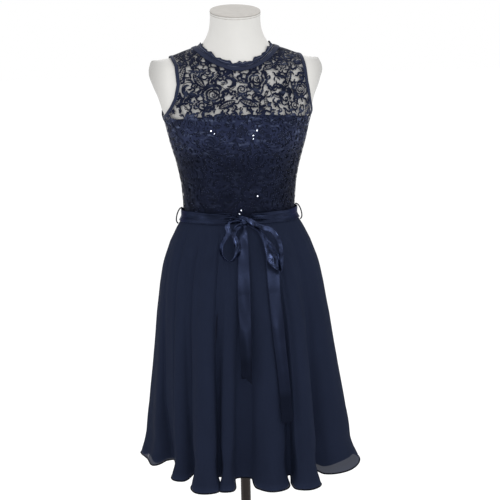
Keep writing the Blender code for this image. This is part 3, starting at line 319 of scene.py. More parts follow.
RIGHT_TAIL = (
    # x      z       width  lift
    (0.0082, 1.0342, 0.0085, 0.0055),
    (0.0208, 1.0270, 0.0095, 0.0060),
    (0.0313, 1.0186, 0.0095, 0.0060),
    (0.0372, 1.0086, 0.0105, 0.0055),
    (0.0432, 0.9966, 0.0150, 0.0050),
    (0.0506, 0.9826, 0.0220, 0.0045),
    (0.0539, 0.9666, 0.0260, 0.0040),
    (0.0541, 0.9467, 0.0270, 0.0035),
    (0.0540, 0.8934, 0.0270, 0.0035),
    (0.0572, 0.8145, 0.0255, 0.0035),
    (0.0618, 0.7500, 0.0240, 0.0035),
    (0.0650, 0.6950, 0.0230, 0.0035),
    (0.0670, 0.6420, 0.0230, 0.0035),
)
LEFT_TAIL_SLANT = 0.021
RIGHT_TAIL_SLANT = -0.003
TAIL_CLEAR = 0.0005
TAIL_ROOT = 0.0985  # how far forward the tails leave the knot
LOOP_CURL = 0.10  # how far the ribbon is cupped, as a share of its width
TAIL_CURL = 0.03
RIBBON_COLUMNS = 13
BELT_LOOP_PATH = (
    # out     z
    (0.1215, 1.0590),
    (0.1265, 1.0570),
    (0.1310, 1.0500),
    (0.1340, 1.0410),
    (0.1350, 1.0330),
    (0.1338, 1.0280),
    (0.1315, 1.0255),
)
PLY_TURNS = 11
PLY_OFFSET = 0.0007
PLY_RADIUS = 0.0009
KNOT_CENTRE = (0.0005, -0.0992, 1.0405)
KNOT_RADII = (0.0085, 0.0065, 0.0095)

# ---- motifs of the lace, laid on the front of the yoke
YOKE_MOTIFS = (
    # kind      x mm   z mm   size  turn
    ("rose", -57, 1299, 24, 20),
    ("rose", 33, 1328, 25, 70),
    ("rose", 125, 1305, 20, 0),
    ("blossom", -13, 1297, 11, 15),
    ("crescent", -107, 1310, 15, 200),
    ("crescent", -23, 1323, 16, 10),
    ("crescent", 78, 1306, 17, -20),
    ("ladder", -127, 1294, 22, 96),
    ("ladder", 53, 1288, 24, 84),
    ("ladder", 121, 1347, 26, -52),
    ("ladder", -48, 1335, 17, 35),
    ("blossom", 98, 1284, 10, 40),
    ("blossom", -97, 1281, 9, 0),
    ("leaf", -30, 1279, 22, 25),
    ("leaf", 14, 1281, 24, -22),
    ("leaf", -84, 1327, 22, 130),
    ("leaf", 62, 1352, 20, 25),
    ("leaf", 100, 1331, 20, 70),
    ("leaf", -116, 1342, 20, 80),
    ("scroll", -80, 1278, 22, 190),
    ("scroll", 2, 1309, 20, 80),
    ("scroll", 110, 1274, 17, 20),
    ("scroll", -66, 1344, 18, 330),
    ("scroll", 88, 1354, 17, 150),
)


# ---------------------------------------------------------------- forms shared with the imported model
def smooth_rows(table, at):
    """The table's numbers at fractional row numbers, on a Catmull-Rom curve through its rows."""
    rows = np.array(table, float)
    last = len(rows) - 1
    at = np.asarray(at, float)
    low = np.clip(np.floor(at).astype(int), 0, last - 1)
    f = (at - low)[..., None]
    p0, p1 = rows[np.maximum(low - 1, 0)], rows[low]
    p2, p3 = rows[low + 1], rows[np.minimum(low + 2, last)]
    square, cube = 2 * p0 - 5 * p1 + 4 * p2 - p3, 3 * p1 - p0 - 3 * p2 + p3
    return 0.5 * (2 * p1 + (p2 - p0) * f + square * f**2 + cube * f**3)


def numbers(table):
    return [row[1:] for row in table]


def unit(vectors):
    return vectors / np.maximum(np.linalg.norm(vectors, axis=-1, keepdims=True), 1e-12)


def body(t, phi):
    """A point of the form at ring number t and angle phi from the front towards +X."""
    t, phi = np.broadcast_arrays(np.asarray(t, float), np.asarray(phi, float))
    ring = smooth_rows(numbers(BODY_RINGS), t)
    half, front, back, mid, z_front, z_side, z_back, square = np.moveaxis(ring, -1, 0)
    s, c = np.sin(phi), np.cos(phi)
    k = (np.abs(s) ** square + np.abs(c) ** square) ** (-1 / square)
    x = half * s * k
    y = mid - np.where(c > 0, mid - front, back - mid) * c * k
    level = np.clip((t - NECK_LOW) / (NECK_TOP - NECK_LOW), 0, 1)
    z = z_side + (np.where(c > 0, z_front, z_back) - z_side) * (c * c + (np.abs(c) - c * c) * level)
    near = ((np.abs(x) - BUST_X) ** 2 + (z - BUST_Z) ** 2) / BUST_REACH**2
    y = y - BUST_RISE * np.exp(-near) * np.clip(c * 3, 0, 1) ** 2
    return np.stack([x, y, z], -1)


def body_frame(t, phi):
    """The form's point with its rates of change along t and phi, and its outward normal."""
    step = 1e-3
    low, high = np.clip(t - step, 0, NECK_TOP), np.clip(t + step, 0, NECK_TOP)
    along_t = (body(high, phi) - body(low, phi)) / (high - low)[..., None]
    along_phi = (body(t, phi + step) - body(t, phi - step)) / (2 * step)
    return body(t, phi), along_t, along_phi, unit(np.cross(along_phi, along_t))


def over_body(t, phi, lift):
    t, phi = np.broadcast_arrays(np.asarray(t, float), np.asarray(phi, float))
    point, _, _, normal = body_frame(t, phi)
    return point + normal * np.asarray(lift)[..., None]


def lace_lift(t):
    ring, lift = np.array(LACE_DRAPE).T
    return np.interp(t, ring, lift)


def armhole_angle(t, side, back=False):
    """How far round from the front, or from the back, the armhole of this side cuts the rings t."""
    t = np.asarray(t, float)
    heights, left, right, back_reach = np.array(ARMHOLE_CUT).T
    reach = back_reach if back else (right if side > 0 else left)
    low = np.full(t.shape, math.radians(20))
    high = np.full(t.shape, math.pi / 2)
    for _ in range(40):
        middle = (low + high) / 2
        point = body(t, math.pi - middle if back else middle)
        inside = point[..., 0] < np.interp(point[..., 2], heights, reach)
        low = np.where(inside, middle, low)
        high = np.where(inside, high, middle)
    return np.where((t <= CHEST) | (t >= SHOULDER), math.pi / 2, high)


def armhole_rows(count):
    """Ring numbers up the armhole, closest together at its ends, where it turns."""
    share = (1 - np.cos(math.pi * np.arange(count + 1) / count)) / 2
    return CHEST + (SHOULDER - CHEST) * share


def round_angles(columns):
    """The angles of a closed ring's columns, once round from the back."""
    return np.linspace(-math.pi, math.pi, columns + 1)[:-1]


def bodice_rows(low, arm, top, end=NECKLINE):
    """Ring numbers down the bodice from the neck to the waist: so many up to the chest, up the armhole and
    up to the end."""
    rows = [np.linspace(WAIST, CHEST, low), armhole_rows(arm)[1:], np.linspace(SHOULDER, end, top)[1:]]
    return np.concatenate(rows)[::-1]


def slide(t, phi, direction, distance, steps=4):
    """Walk over the form from (t, phi) along a 3-D direction by a distance; returns (t, phi)."""
    for _ in range(steps):
        _, along_t, along_phi, normal = body_frame(t, phi)
        flat = unit(direction - normal * np.sum(direction * normal, -1, keepdims=True))
        tt = np.sum(along_t * along_t, -1)
        tp = np.sum(along_t * along_phi, -1)
        pp = np.sum(along_phi * along_phi, -1)
        ft, fp = np.sum(flat * along_t, -1), np.sum(flat * along_phi, -1)
        span = tt * pp - tp * tp
        t = t + (ft * pp - fp * tp) / span * distance / steps
        phi = phi + (fp * tt - ft * tp) / span * distance / steps
    return t, phi


def contour(table, z, phi):
    """The outline of a skirt at height z and angle phi, on the table's smooth profile."""
    heights = np.array([row[1] for row in table])
    row = np.interp(-z, -heights, np.arange(len(table)))
    half, front, back, square = np.moveaxis(smooth_rows([entry[2:] for entry in table], row), -1, 0)
    s, c = np.sin(phi), np.cos(phi)
    depth = np.where(c > 0, front, back)
    return (np.abs(s / half) ** square + np.abs(c / depth) ** square) ** (-1 / square)


def hem_points():
    """The hem's columns as angle and distance from the axis, seven to a fold, once round."""
    points = []
    for _, v_deg, v_out, v_half, l_deg, l_out, c_deg, c_out, r_deg, r_out, bulge in FOLDS:
        half = math.degrees(v_half / v_out)
        points += [(v_deg - half, v_out), (v_deg + half, v_out), (l_deg, l_out)]
        points += [((l_deg + c_deg) / 2, (l_out + c_out) / 2 + bulge), (c_deg, c_out)]
        points += [((c_deg + r_deg) / 2, (c_out + r_out) / 2 + bulge), (r_deg, r_out)]
    angle, out = np.array(points).T
    return np.radians(angle), out


def fold_column(name, place):
    return [row[0] for row in FOLDS].index(name) * FOLD_COLUMNS + place


LEFT_SEAM = fold_column("side_left", 5)
RIGHT_SEAM = fold_column("side_right", 0)
BACK_SEAM = fold_column("back_3", 4)


def rounded_ring(points, spans):
    """A centripetal Catmull-Rom curve through a closed ring of plane points, cut into the given numbers of
    spans; it bows outward between far points and never loops at close ones."""
    count = len(points)
    ring = []
    for number, pieces in enumerate(spans):
        p = [points[(number + step) % count] for step in (-1, 0, 1, 2)]
        steps = [max(np.linalg.norm(b - a), 1e-6) ** 0.5 for a, b in zip(p[:-1], p[1:])]
        knots = np.cumsum([0.0] + steps)
        t = (knots[1] + (knots[2] - knots[1]) * np.arange(pieces) / pieces)[:, None]

        def between(low, high, one, two):
            return ((knots[high] - t) * one + (t - knots[low]) * two) / (knots[high] - knots[low])

        first = [between(i, i + 1, p[i], p[i + 1]) for i in range(3)]
        second = [between(i, i + 2, first[i], first[i + 1]) for i in range(2)]
        ring.append(between(1, 2, *second))
    return np.concatenate(ring)


def skirt_columns(pitch):
    """Waist angle, hem angle and hem distance of columns about pitch apart at the hem, once round from the
    left side seam, and the columns of the seams."""
    angle, out = hem_points()
    count = len(angle)
    order = (np.arange(count + 1) + LEFT_SEAM) % count
    turns = np.where(np.arange(count + 1) + LEFT_SEAM >= count, 2 * math.pi, 0.0)
    angle, out = angle[order] + turns, out[order]
    places = np.stack([out * np.sin(angle), -out * np.cos(angle)], -1)
    length = np.concatenate([[0], np.cumsum(np.linalg.norm(np.diff(places, axis=0), axis=1))])
    seams = [0, RIGHT_SEAM - LEFT_SEAM, BACK_SEAM - LEFT_SEAM, count]
    waist = np.interp(length, length[seams], np.radians([-90, 90, 180, 270]))
    spans = [max(3, round(span / pitch)) for span in np.diff(length)]
    ring = rounded_ring(places[:-1], spans)
    soft = ring.copy()
    for _ in range(6):
        soft = (np.roll(soft, 1, axis=0) + np.roll(soft, -1, axis=0)) / 4 + soft / 2
    crest = np.clip((np.linalg.norm(ring, axis=1) - CREST_FROM) / CREST_SPAN, 0, 1)[:, None]
    ring = ring + (soft - ring) * crest
    ring = np.concatenate([ring, ring[:1]])
    starts = np.concatenate([[0], np.cumsum(spans)])
    fine_waist = np.interp(np.arange(len(ring)), starts, waist)
    fine_angle = np.unwrap(np.arctan2(ring[:, 0], -ring[:, 1]))
    fine_angle += 2 * math.pi * round((angle[0] - fine_angle[0]) / (2 * math.pi))
    return fine_waist, fine_angle, np.linalg.norm(ring, axis=1), [int(starts[seam]) for seam in seams]


def skirt_surface(v, waist, angle, out):
    """Points of the skirt at the share v of its length, for columns with these angles and hem distances."""
    v = v + 0 * waist
    z = WAIST_Z + (HEM_Z - WAIST_Z) * v
    phi = waist + (angle - waist) * v**0.7
    outline = contour(SKIRT_RINGS, z, phi)
    depth = contour(SKIRT_RINGS, HEM_Z + 0 * phi, angle) - out
    grown = np.clip((v - FOLD_START) / (1 - FOLD_START), 0, 1) ** FOLD_POWER
    room = np.maximum(outline - contour(INSIDE_RINGS, z, phi) - SKIRT_CLEAR, 1e-4)
    room = room + FREE_ROOM * np.clip((v - FREE_START) / (1 - FREE_START), 0, 1) ** 2
    dip = depth * grown
    dip = np.where(dip > 0, room * (1 - np.exp(-np.maximum(dip, 0) / room)), dip)
    radius = outline - dip + crease_height(v, waist)
    return np.stack([radius * np.sin(phi) + SWAY * v, -radius * np.cos(phi), z], -1)


def crease_height(v, waist):
    """How far the small creases of the chiffon stand out at the share v of its length."""
    total = 0 * v
    for degrees, start, end, width, height in CREASES:
        away = np.angle(np.exp(1j * (waist - math.radians(degrees))))
        across = np.exp(-((away / math.radians(width)) ** 2))
        along = np.clip((v - start) / 0.12, 0, 1) * np.clip((end - v) / 0.25, 0, 1)
        along = along * along * (3 - 2 * along)
        total = total + height * across * along * (0.75 + 0.6 * v)
    return total


def grid_normals(grid, ring=False):
    """Outward normals of a grid whose rows run down and columns run from the left to the right."""
    if ring:
        grid = np.concatenate([grid[:, -1:], grid, grid[:, :1]], axis=1)
    down = np.gradient(grid, axis=0)
    right = np.gradient(grid, axis=1)
    normal = unit(np.cross(down, right))
    return normal[:, 1:-1] if ring else normal


def closed_normals(grid):
    """Outward normals of a grid that is closed by its first column again."""
    normals = grid_normals(grid[:, :-1], ring=True)
    return np.concatenate([normals, normals[:, :1]], axis=1)


def outline_depth(x, z):
    """How far forward the unfolded skirt reaches at a place across its front."""
    depth = 0.1
    for _ in range(30):
        phi = np.arctan2(x, depth)
        depth = contour(SKIRT_RINGS, z, phi) * np.cos(phi)
    return depth


# ---------------------------------------------------------------- materials
def feed(tree, node, values):
    """Sets a node's inputs; an input given as a socket is linked."""
    for key, value in values.items():
        if isinstance(value, bpy.types.NodeSocket):
            tree.links.new(value, node.inputs[key])
        else:
            node.inputs[key].default_value = value


def add(tree, kind, values=(), **settings):
    made = tree.nodes.new(kind)
    for key, value in settings.items():
        setattr(made, key, value)
    feed(tree, made, dict(values))
    return made


def new_material(name):
    """A material with its node tree, its shader and a socket with the place on the object."""
    made = bpy.data.materials.new(name)
    made.use_nodes = True
    tree = made.node_tree
    place = add(tree, "ShaderNodeTexCoord").outputs["Object"]
    return made, tree, tree.nodes["Principled BSDF"], place


def ramp(tree, value, low, high, at=(0.3, 0.7)):
    made = add(tree, "ShaderNodeValToRGB", {"Fac": value})
    for stop, place, colour in zip(made.color_ramp.elements, at, (low, high)):
        stop.position, stop.color = place, (*colour, 1)
    return made.outputs["Color"]


def spread(tree, value, low, high, to_low=0.0, to_high=1.0):
    """The value's range from low to high, mapped onto another."""
    values = {"Value": value, "From Min": low, "From Max": high, "To Min": to_low, "To Max": to_high}
    return add(tree, "ShaderNodeMapRange", values).outputs[0]


def combine(tree, one, two, operation="MULTIPLY"):
    return add(tree, "ShaderNodeMath", {0: one, 1: two}, operation=operation).outputs[0]


def times(tree, vector, factors):
    return add(tree, "ShaderNodeVectorMath", {0: vector, 1: factors}, operation="MULTIPLY").outputs[0]


def along_axis(tree, place, axis):
    return add(tree, "ShaderNodeSeparateXYZ", {0: place}).outputs[axis]


def noise(tree, where, scale, detail=3.0, roughness=0.5):
    values = {"Vector": where, "Scale": scale, "Detail": detail, "Roughness": roughness}
    return add(tree, "ShaderNodeTexNoise", values).outputs["Fac"]


def stripes(tree, where, scale, axis, distortion=2.0, detail_scale=1.0):
    values = {"Vector": where, "Scale": scale, "Distortion": distortion, "Detail": 2.0}
    values["Detail Scale"] = detail_scale
    return add(tree, "ShaderNodeTexWave", values, bands_direction=axis).outputs["Fac"]


def bump(tree, height, distance, strength, after=None):
    values = {"Height": height, "Distance": distance, "Strength": strength}
    if after is not None:
        values["Normal"] = after
    return add(tree, "ShaderNodeBump", values).outputs["Normal"]


def scaled(colour, factor):
    return tuple(min(1.0, channel * factor) for channel in colour)


STRIPES_A_THREAD = 0.314  # scale of a wave texture for one thread to the metre
SHEEN_ROUGHNESS = 0.45
SHEEN_GAIN = 9.0  # the sheen's tint over the cloth's colour


def cloth_material(name, colour, rough, threads, weave, mottle, sheen=0.0, specular=0.2, tint=(1, 1, 1),
                   alpha=1.0, tone_and_painted_shade=0.12, slub=(1, 1, 1), metal=0.0, painted_highlight_wisps=None, painted_shade_by_height=(), painted_glow=None):
    """Woven cloth: threads to the metre along the piece's own width and length, with uneven colour; where
    that spread is large it also paints the light and shade of folds. The wisps (colour, height where they
    start) are lighter streaks of painted highlight. The heights given with their shades, lowest first, paint
    light and shade. The glow is painted light, an emission for the light that scatters through thin cloth, at
    two heights (low, high, at low, at high)."""
    made, tree, shader, place = new_material(name)
    flat = add(tree, "ShaderNodeAttribute", attribute_name="cloth").outputs["Vector"]
    height = along_axis(tree, place, "Z")
    slubs = times(tree, place, slub)
    # Uneven tone at random; where its spread is large it also paints the light and shade of folds.
    patches = noise(tree, slubs, 26.0, 4.0, 0.6)
    shade = ramp(tree, patches, scaled(colour, 1 - tone_and_painted_shade), scaled(colour, 1 + tone_and_painted_shade), (0.32, 0.68))
    # Painted light and shade: the colour is scaled by height between the given stops.
    before = 1.0
    for (low, low_shade), (high, high_shade) in zip(painted_shade_by_height[:-1], painted_shade_by_height[1:]):
        shade = times(tree, shade, spread(tree, height, low, high, low_shade / before, high_shade / before))
        before = high_shade
    # Painted highlights: lighter streaks mixed in over a band of heights.
    if painted_highlight_wisps:
        light, start = painted_highlight_wisps
        strands = noise(tree, times(tree, place, (1.0, 1.0, 2.6)), 46.0, 3.0, 0.6)
        rising = spread(tree, height, start, start + 0.05, 0.12)
        falling = spread(tree, height, start + 0.07, start + 0.10, 1.0, 0.35)
        amount = combine(tree, spread(tree, strands, 0.53, 0.72), combine(tree, falling, rising))
        shade = add(tree, "ShaderNodeMix", {0: amount, 6: shade, 7: (*light, 1)}, data_type="RGBA").outputs[2]
    # Painted light: the cloth glows with its own colour, more at greater heights.
    if painted_glow:
        feed(tree, shader, {"Emission Color": shade, "Emission Strength": spread(tree, height, *painted_glow)})
    warp, weft = (stripes(tree, flat, threads * STRIPES_A_THREAD, axis, 1.5, 3.0) for axis in "XY")
    fine = bump(tree, combine(tree, warp, weft, "ADD"), 0.00012, weave)
    feed(tree, shader, {
        "Base Color": shade,
        "Normal": bump(tree, noise(tree, slubs, 60.0, 4.0), 0.0015, mottle, fine),
        "Roughness": spread(tree, patches, 0.0, 1.0, rough - 0.06, rough + 0.06),
        "Specular IOR Level": specular,
        "Specular Tint": (*tint, 1),
        "Sheen Weight": sheen,
        "Sheen Roughness": SHEEN_ROUGHNESS,
        "Sheen Tint": (*scaled(colour, SHEEN_GAIN), 1),
        "Alpha": alpha,
        "Metallic": metal,
    })
    return made


def jersey_material():
    """The form's stretched white cover: a fine knit with a soft shine, and painted shade that darkens the
    tips of the stumps.
    """
    made, tree, shader, place = new_material("form_jersey_knit")
    white = ramp(tree, noise(tree, place, 9.0, 4.0), (0.605, 0.597, 0.576), (0.648, 0.640, 0.620))
    away = add(tree, "ShaderNodeMath", {0: along_axis(tree, place, "X")}, operation="ABSOLUTE").outputs[0]
    ribs, rows = stripes(tree, place, 400.0, "X"), stripes(tree, place, 340.0, "Z")
    knit = bump(tree, combine(tree, ribs, rows, "ADD"), 0.0001, 0.25)
    feed(tree, shader, {
        # Painted shade: the white darkens towards the tips of the arm stumps.
        "Base Color": times(tree, white, spread(tree, away, 0.145, 0.180, 1.0, 0.60)),
        "Normal": bump(tree, noise(tree, place, 34.0), 0.0012, 0.25, knit),
        "Roughness": 0.48,
        "Specular IOR Level": 0.4,
    })
    return made


def cap_material():
    made, tree, shader, place = new_material("cap_board")
    grain = noise(tree, place, 70.0, 6.0, 0.65)
    feed(tree, shader, {
        "Base Color": ramp(tree, grain, (0.475, 0.455, 0.43), (0.53, 0.51, 0.48)),
        "Normal": bump(tree, noise(tree, place, 420.0), 0.0002, 0.3),
        "Roughness": 0.65,
        "Specular IOR Level": 0.3,
    })
    return made


def wood_material():
    """Dark stained turned wood with a thin satin varnish."""
    made, tree, shader, place = new_material("stained_wood")
    grain = noise(tree, times(tree, place, (38.0, 38.0, 2.2)), 3.0, 6.0, 0.6)
    pores = noise(tree, times(tree, place, (300.0, 300.0, 14.0)), 2.0)
    feed(tree, shader, {
        "Base Color": ramp(tree, grain, (0.008, 0.005, 0.004), (0.026, 0.017, 0.014)),
        "Normal": bump(tree, pores, 0.0002, 0.35),
        "Roughness": spread(tree, grain, 0.0, 1.0, 0.36, 0.52),
        "Specular IOR Level": 0.22,
        "Coat Weight": 0.04,
        "Coat Roughness": 0.25,
    })
    return made


def metal_material():
    """The painted zip pull, worn a little along its edges."""
    made, tree, shader, place = new_material("painted_pull")
    edge = add(tree, "ShaderNodeNewGeometry").outputs["Pointiness"]
    scratches = noise(tree, times(tree, place, (1500.0, 1500.0, 200.0)), 1.0, 2.0)
    feed(tree, shader, {
        "Base Color": ramp(tree, edge, (0.020, 0.024, 0.046), (0.16, 0.17, 0.20), (0.52, 0.60)),
        "Normal": bump(tree, noise(tree, place, 900.0), 0.0001, 0.2),
        "Roughness": spread(tree, scratches, 0.0, 1.0, 0.28, 0.44),
        "Metallic": 0.6,
    })
    return made


def sequin_material(name, colour, rough):
    made, tree, shader, place = new_material(name)
    flecks = noise(tree, place, 260.0, 2.0)
    feed(tree, shader, {
        "Base Color": ramp(tree, flecks, scaled(colour, 0.7), colour),
        "Normal": bump(tree, flecks, 0.0001, 0.15),
        "Metallic": 0.9,
        "Roughness": rough,
    })
    return made


# ---------------------------------------------------------------- meshes
def finish_piece(obj, replaces=()):
    """The body that the piece rides on, and the nodes that it stands for, which it hides."""
    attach(obj, BODY)
    if replaces:
        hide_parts(*replaces)
    return obj


def mesh_object(name, points, faces, look):
    mesh = bpy.data.meshes.new(name)
    points = np.asarray(points, np.float32).reshape(-1, 3)
    sizes = np.array([len(face) for face in faces], np.int32)
    mesh.vertices.add(len(points))
    mesh.vertices.foreach_set("co", points.ravel())
    mesh.loops.add(int(sizes.sum()))
    mesh.loops.foreach_set("vertex_index", np.concatenate([np.asarray(face, np.int32) for face in faces]))
    mesh.polygons.add(len(faces))
    mesh.polygons.foreach_set("loop_start", np.concatenate([[0], np.cumsum(sizes)[:-1]]).astype(np.int32))
    mesh.materials.append(look)
    mesh.update(calc_edges=True)
    mesh.validate()
    mesh.shade_smooth()
    obj = bpy.data.objects.new(name, mesh)
    bpy.context.scene.collection.objects.link(obj)
    return obj


def grid_faces(rows, columns, ring=False, start=0):
    """Quads of a grid whose rows run down and whose columns run from left to right, facing out."""
    spans = columns if ring else columns - 1
    row, column = np.meshgrid(np.arange(rows - 1), np.arange(spans), indexing="ij")
    a = start + row * columns + column
    b = start + row * columns + (column + 1) % columns
    return np.stack([a, a + columns, b + columns, b], -1).reshape(-1, 4)


def flat_lengths(grid):
    """Each point's place on the flat cloth, in metres: along its row and down its column."""
    right = np.linalg.norm(np.diff(grid, axis=1), axis=-1)
    down = np.linalg.norm(np.diff(grid, axis=0), axis=-1)
    u = np.concatenate([np.zeros((len(grid), 1)), np.cumsum(right, axis=1)], axis=1)
    v = np.concatenate([np.zeros((1, grid.shape[1])), np.cumsum(down, axis=0)], axis=0)
    return np.stack([u - u[:, -1:] / 2, v, 0 * u], -1)


def sheet_object(name, grid, look, ring=False, thick=0.0):
    """A cloth surface from a grid of points, rows downwards. A thickness makes it a thin wall about it."""
    rows, columns = grid.shape[:2]
    obj = mesh_object(name, grid.reshape(-1, 3), grid_faces(rows, columns, ring), look)
    where = obj.data.attributes.new("cloth", "FLOAT_VECTOR", "POINT")
    where.data.foreach_set("vector", flat_lengths(grid).astype(np.float32).ravel())
    if thick:
        wall = obj.modifiers.new("cloth", "SOLIDIFY")
        wall.thickness = thick
        wall.offset = 0.0
    return obj


def cloth_piece(name, grid, look, node, ring=False, thick=0.0):
    """A cloth surface as a finished piece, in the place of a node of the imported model."""
    return finish_piece(sheet_object(name, grid, look, ring, thick), [node])


def tube_mesh(path, radius, sides=8, closed=False):
    """Points and faces of a round thread along a path."""
    path = np.asarray(path, float)
    if closed:
        along = unit(np.roll(path, -1, axis=0) - np.roll(path, 1, axis=0))
    else:
        along = unit(np.gradient(path, axis=0))
    side = np.cross(along, (0.0, 0.0, 1.0))
    upright = np.linalg.norm(side, axis=1, keepdims=True) < 0.05
    side = unit(np.where(upright, np.cross(along, (0.0, 1.0, 0.0)), side))
    up = np.cross(side, along)
    turn = 2 * math.pi * np.arange(sides) / sides
    radius = np.broadcast_to(np.asarray(radius, float), len(path))[:, None, None]
    ring = side[:, None] * np.cos(turn)[None, :, None] + up[:, None] * np.sin(turn)[None, :, None]
    points = path[:, None] + ring * radius
    faces = [tuple(face) for face in grid_faces(len(path), sides, ring=True)[:, ::-1]]
    if closed:
        last = (len(path) - 1) * sides
        for step in range(sides):
            ahead = (step + 1) % sides
            faces.append((last + step, last + ahead, ahead, step))
    else:
        faces.append(tuple(range(sides)))
        faces.append(tuple(reversed(range((len(path) - 1) * sides, len(path) * sides))))
    return points.reshape(-1, 3), faces


def roll_piece(name, path, radius, sides, look, closed=False):
    """A thin roll of cloth, or a thread, as a finished piece that lies on another."""
    return finish_piece(mesh_object(name, *tube_mesh(path, radius, sides, closed), look))


def joined(name, parts, look):
    """One object from several (points, faces) parts."""
    points, faces, start = [], [], 0
    for part_points, part_faces in parts:
        points.append(np.asarray(part_points))
        faces.extend(tuple(int(index) + start for index in face) for face in part_faces)
        start += len(part_points)
    return mesh_object(name, np.concatenate(points), faces, look)


# ---------------------------------------------------------------- the form and its stand
PULL_HEIGHT = 0.0005
CORNER_HEIGHT = 0.0030  # a fold of the cover in the corner over each stump


def form_cover(look):
    """The stretched cover of the form, with small pulls in the cloth round the arm stumps."""
    columns = 160
    rows = np.concatenate([bodice_rows(40, 46, 46, NECK_TOP), np.linspace(0, WAIST, 40)[-2::-1]])
    t, angle = np.meshgrid(rows, round_angles(columns), indexing="ij")
    side = np.abs(np.sin(angle)) ** 6
    near_arm = np.exp(-(((t - RING_NUMBER["arm_tip"]) / 1.7) ** 2)) * side
    pulls = np.sin(26 * angle + 3 * np.sin(2 * t)) * 0.55 + np.sin(15 * angle + 1.7 * t) * 0.45
    folds = np.sin(3.1 * t + 2 * angle + np.sign(angle)) * 0.5
    corner = np.exp(-(((t - RING_NUMBER["arm_top"] - 0.1) / 0.30) ** 2))
    corner = corner * np.exp(-(((np.abs(angle) - math.pi / 2) / 0.06) ** 2))
    grid = over_body(t, angle, near_arm * (pulls + folds) * PULL_HEIGHT + CORNER_HEIGHT * corner)
    count = len(rows) * columns
    faces = [tuple(face) for face in grid_faces(len(rows), columns, ring=True)]
    faces += [tuple(range(columns)), tuple(reversed(range(count - columns, count)))]
    obj = mesh_object("form_cover", grid.reshape(-1, 3), faces, look)
    obj.data.set_sharp_from_angle(angle=math.radians(50))
    finish_piece(obj, ["form_torso"])


CAP_PROFILE = (
    # share of the neck's width, share of the board's thickness
    (0.0, 0.9),
    (0.3, 0.96),
    (0.6, 1.0),
    (0.9, 1.0),
    (0.96, 0.985),
    (0.985, 0.93),
    (1.0, 0.80),
    (1.006, 0.62),
    (1.004, 0.40),
    (0.998, 0.22),
    (0.985, 0.10),
    (0.6, 0.10),
    (0.0, 0.10),
)
CAP_SEAM_DROP = 0.27  # how many rings the cover's seam lies under the top of the neck


def neck_cap(look, shadow_look):
    """The board on top of the neck, with a rounded edge and the cover's gathered rim under it; the grey lines
    at the rim and round the neck are part seam, part painted shadow under the board.
    """
    columns = 128
    phi = round_angles(columns)
    rim = body(np.full_like(phi, NECK_TOP), phi)
    centre = rim.mean(axis=0)
    up = np.cross(rim[columns // 4] - centre, rim[columns // 2] - centre)
    up *= np.sign(up[2]) / np.linalg.norm(up)
    rings = []
    for size, rise in CAP_PROFILE:
        rings.append(centre + (rim - centre) * max(size, 0.001) + up * rise * NECK_CAP)
    cloth_piece("neck_cap_board", np.array(rings), look, "form_neck_cap", ring=True)
    wave = 1 + 0.10 * np.sin(phi * 37) + 0.15 * np.sin(phi * 23 + 1)
    # Grey lines along the rim and along the cover's seam below it: part seam, part painted shadow under the
    # board.
    rim_line = tube_mesh(rim + up * 0.0002, 0.0006 * wave, closed=True)
    lower = body(NECK_TOP - CAP_SEAM_DROP + 0.012 * np.sin(3 * phi), phi)
    seam_line = tube_mesh(lower - (lower - centre) * (1, 1, 0) * 0.002, 0.0005 * wave, closed=True)
    finish_piece(joined("neck_cover_seams", [rim_line, seam_line], shadow_look))


# ---------------------------------------------------------------- bodice
def panel_angles(rows, part, columns, gap=SEAM / 2):
    """The angles of a bodice panel's columns: part is "front", or the side (-1, 1) of a back half."""
    half = np.abs(body(rows, math.pi / 2)[:, 0])
    if part == "front":
        left = armhole_angle(rows, -1) - gap / half
        right = armhole_angle(rows, 1) - gap / half
        share = np.linspace(-1, 1, columns)[None, :]
        return np.where(share < 0, share * left[:, None], share * right[:, None])
    edge = armhole_angle(rows, part, True) - gap / half
    reach = smooth_rows(numbers(BODY_RINGS), rows)[:, 2]
    centre = (ZIP_HALF_WIDTH + SEAM) / reach
    share = np.linspace(0, 1, columns)
    phi = part * (math.pi - (centre[:, None] + share[None, :] * (edge - centre)[:, None]))
    return phi if part < 0 else phi[:, ::-1]


PANELS = (("front", "front"), ("back_left", -1), ("back_right", 1))
SIDES = ((1, "right"), (-1, "left"))
SHOULDER_ROWS = 9
EDGE_SPAN = 0.12  # the part of a ring's step over which the lining's edge is turned
EDGE_LIFT = 0.0004


def bodice_linings(look):
    """The opaque lining under the lace up to the chest, with a turned and stitched top edge."""
    rows = np.linspace(WAIST, CHEST, 60)[::-1]
    for word, part in PANELS:
        phi = panel_angles(rows, part, 120 if part == "front" else 64)
        t = np.broadcast_to(rows[:, None], phi.shape)
        ripple = 0.00025 * np.sin(9 * phi + 2.2 * t) + 0.0002 * np.sin(23 * phi - 1.3 * t)
        edge = np.clip((t - CHEST + EDGE_SPAN) / EDGE_SPAN, 0, 1)
        grid = over_body(t, phi, LINING_LIFT + ripple * (1 - edge) + EDGE_LIFT * edge)
        obj = cloth_piece("lining_bodice_" + word, grid, look, "bodice_lining_" + word,
                          thick=LINING_WALL)
        top = grid[0] + (0, 0, 0.1 * MM)
        roll = roll_piece("lining_edge_" + word, top, EDGE_ROLL, 8, look)


def lace_surface(part, columns):
    """The grid of a lace panel, from the neckline to the waist."""
    rows = bodice_rows(44, 40, SHOULDER_ROWS)
    phi = panel_angles(rows, part, columns)
    t = np.broadcast_to(rows[:, None], phi.shape)
    return over_body(t, phi, lace_lift(t) + LACE_MIDDLE)


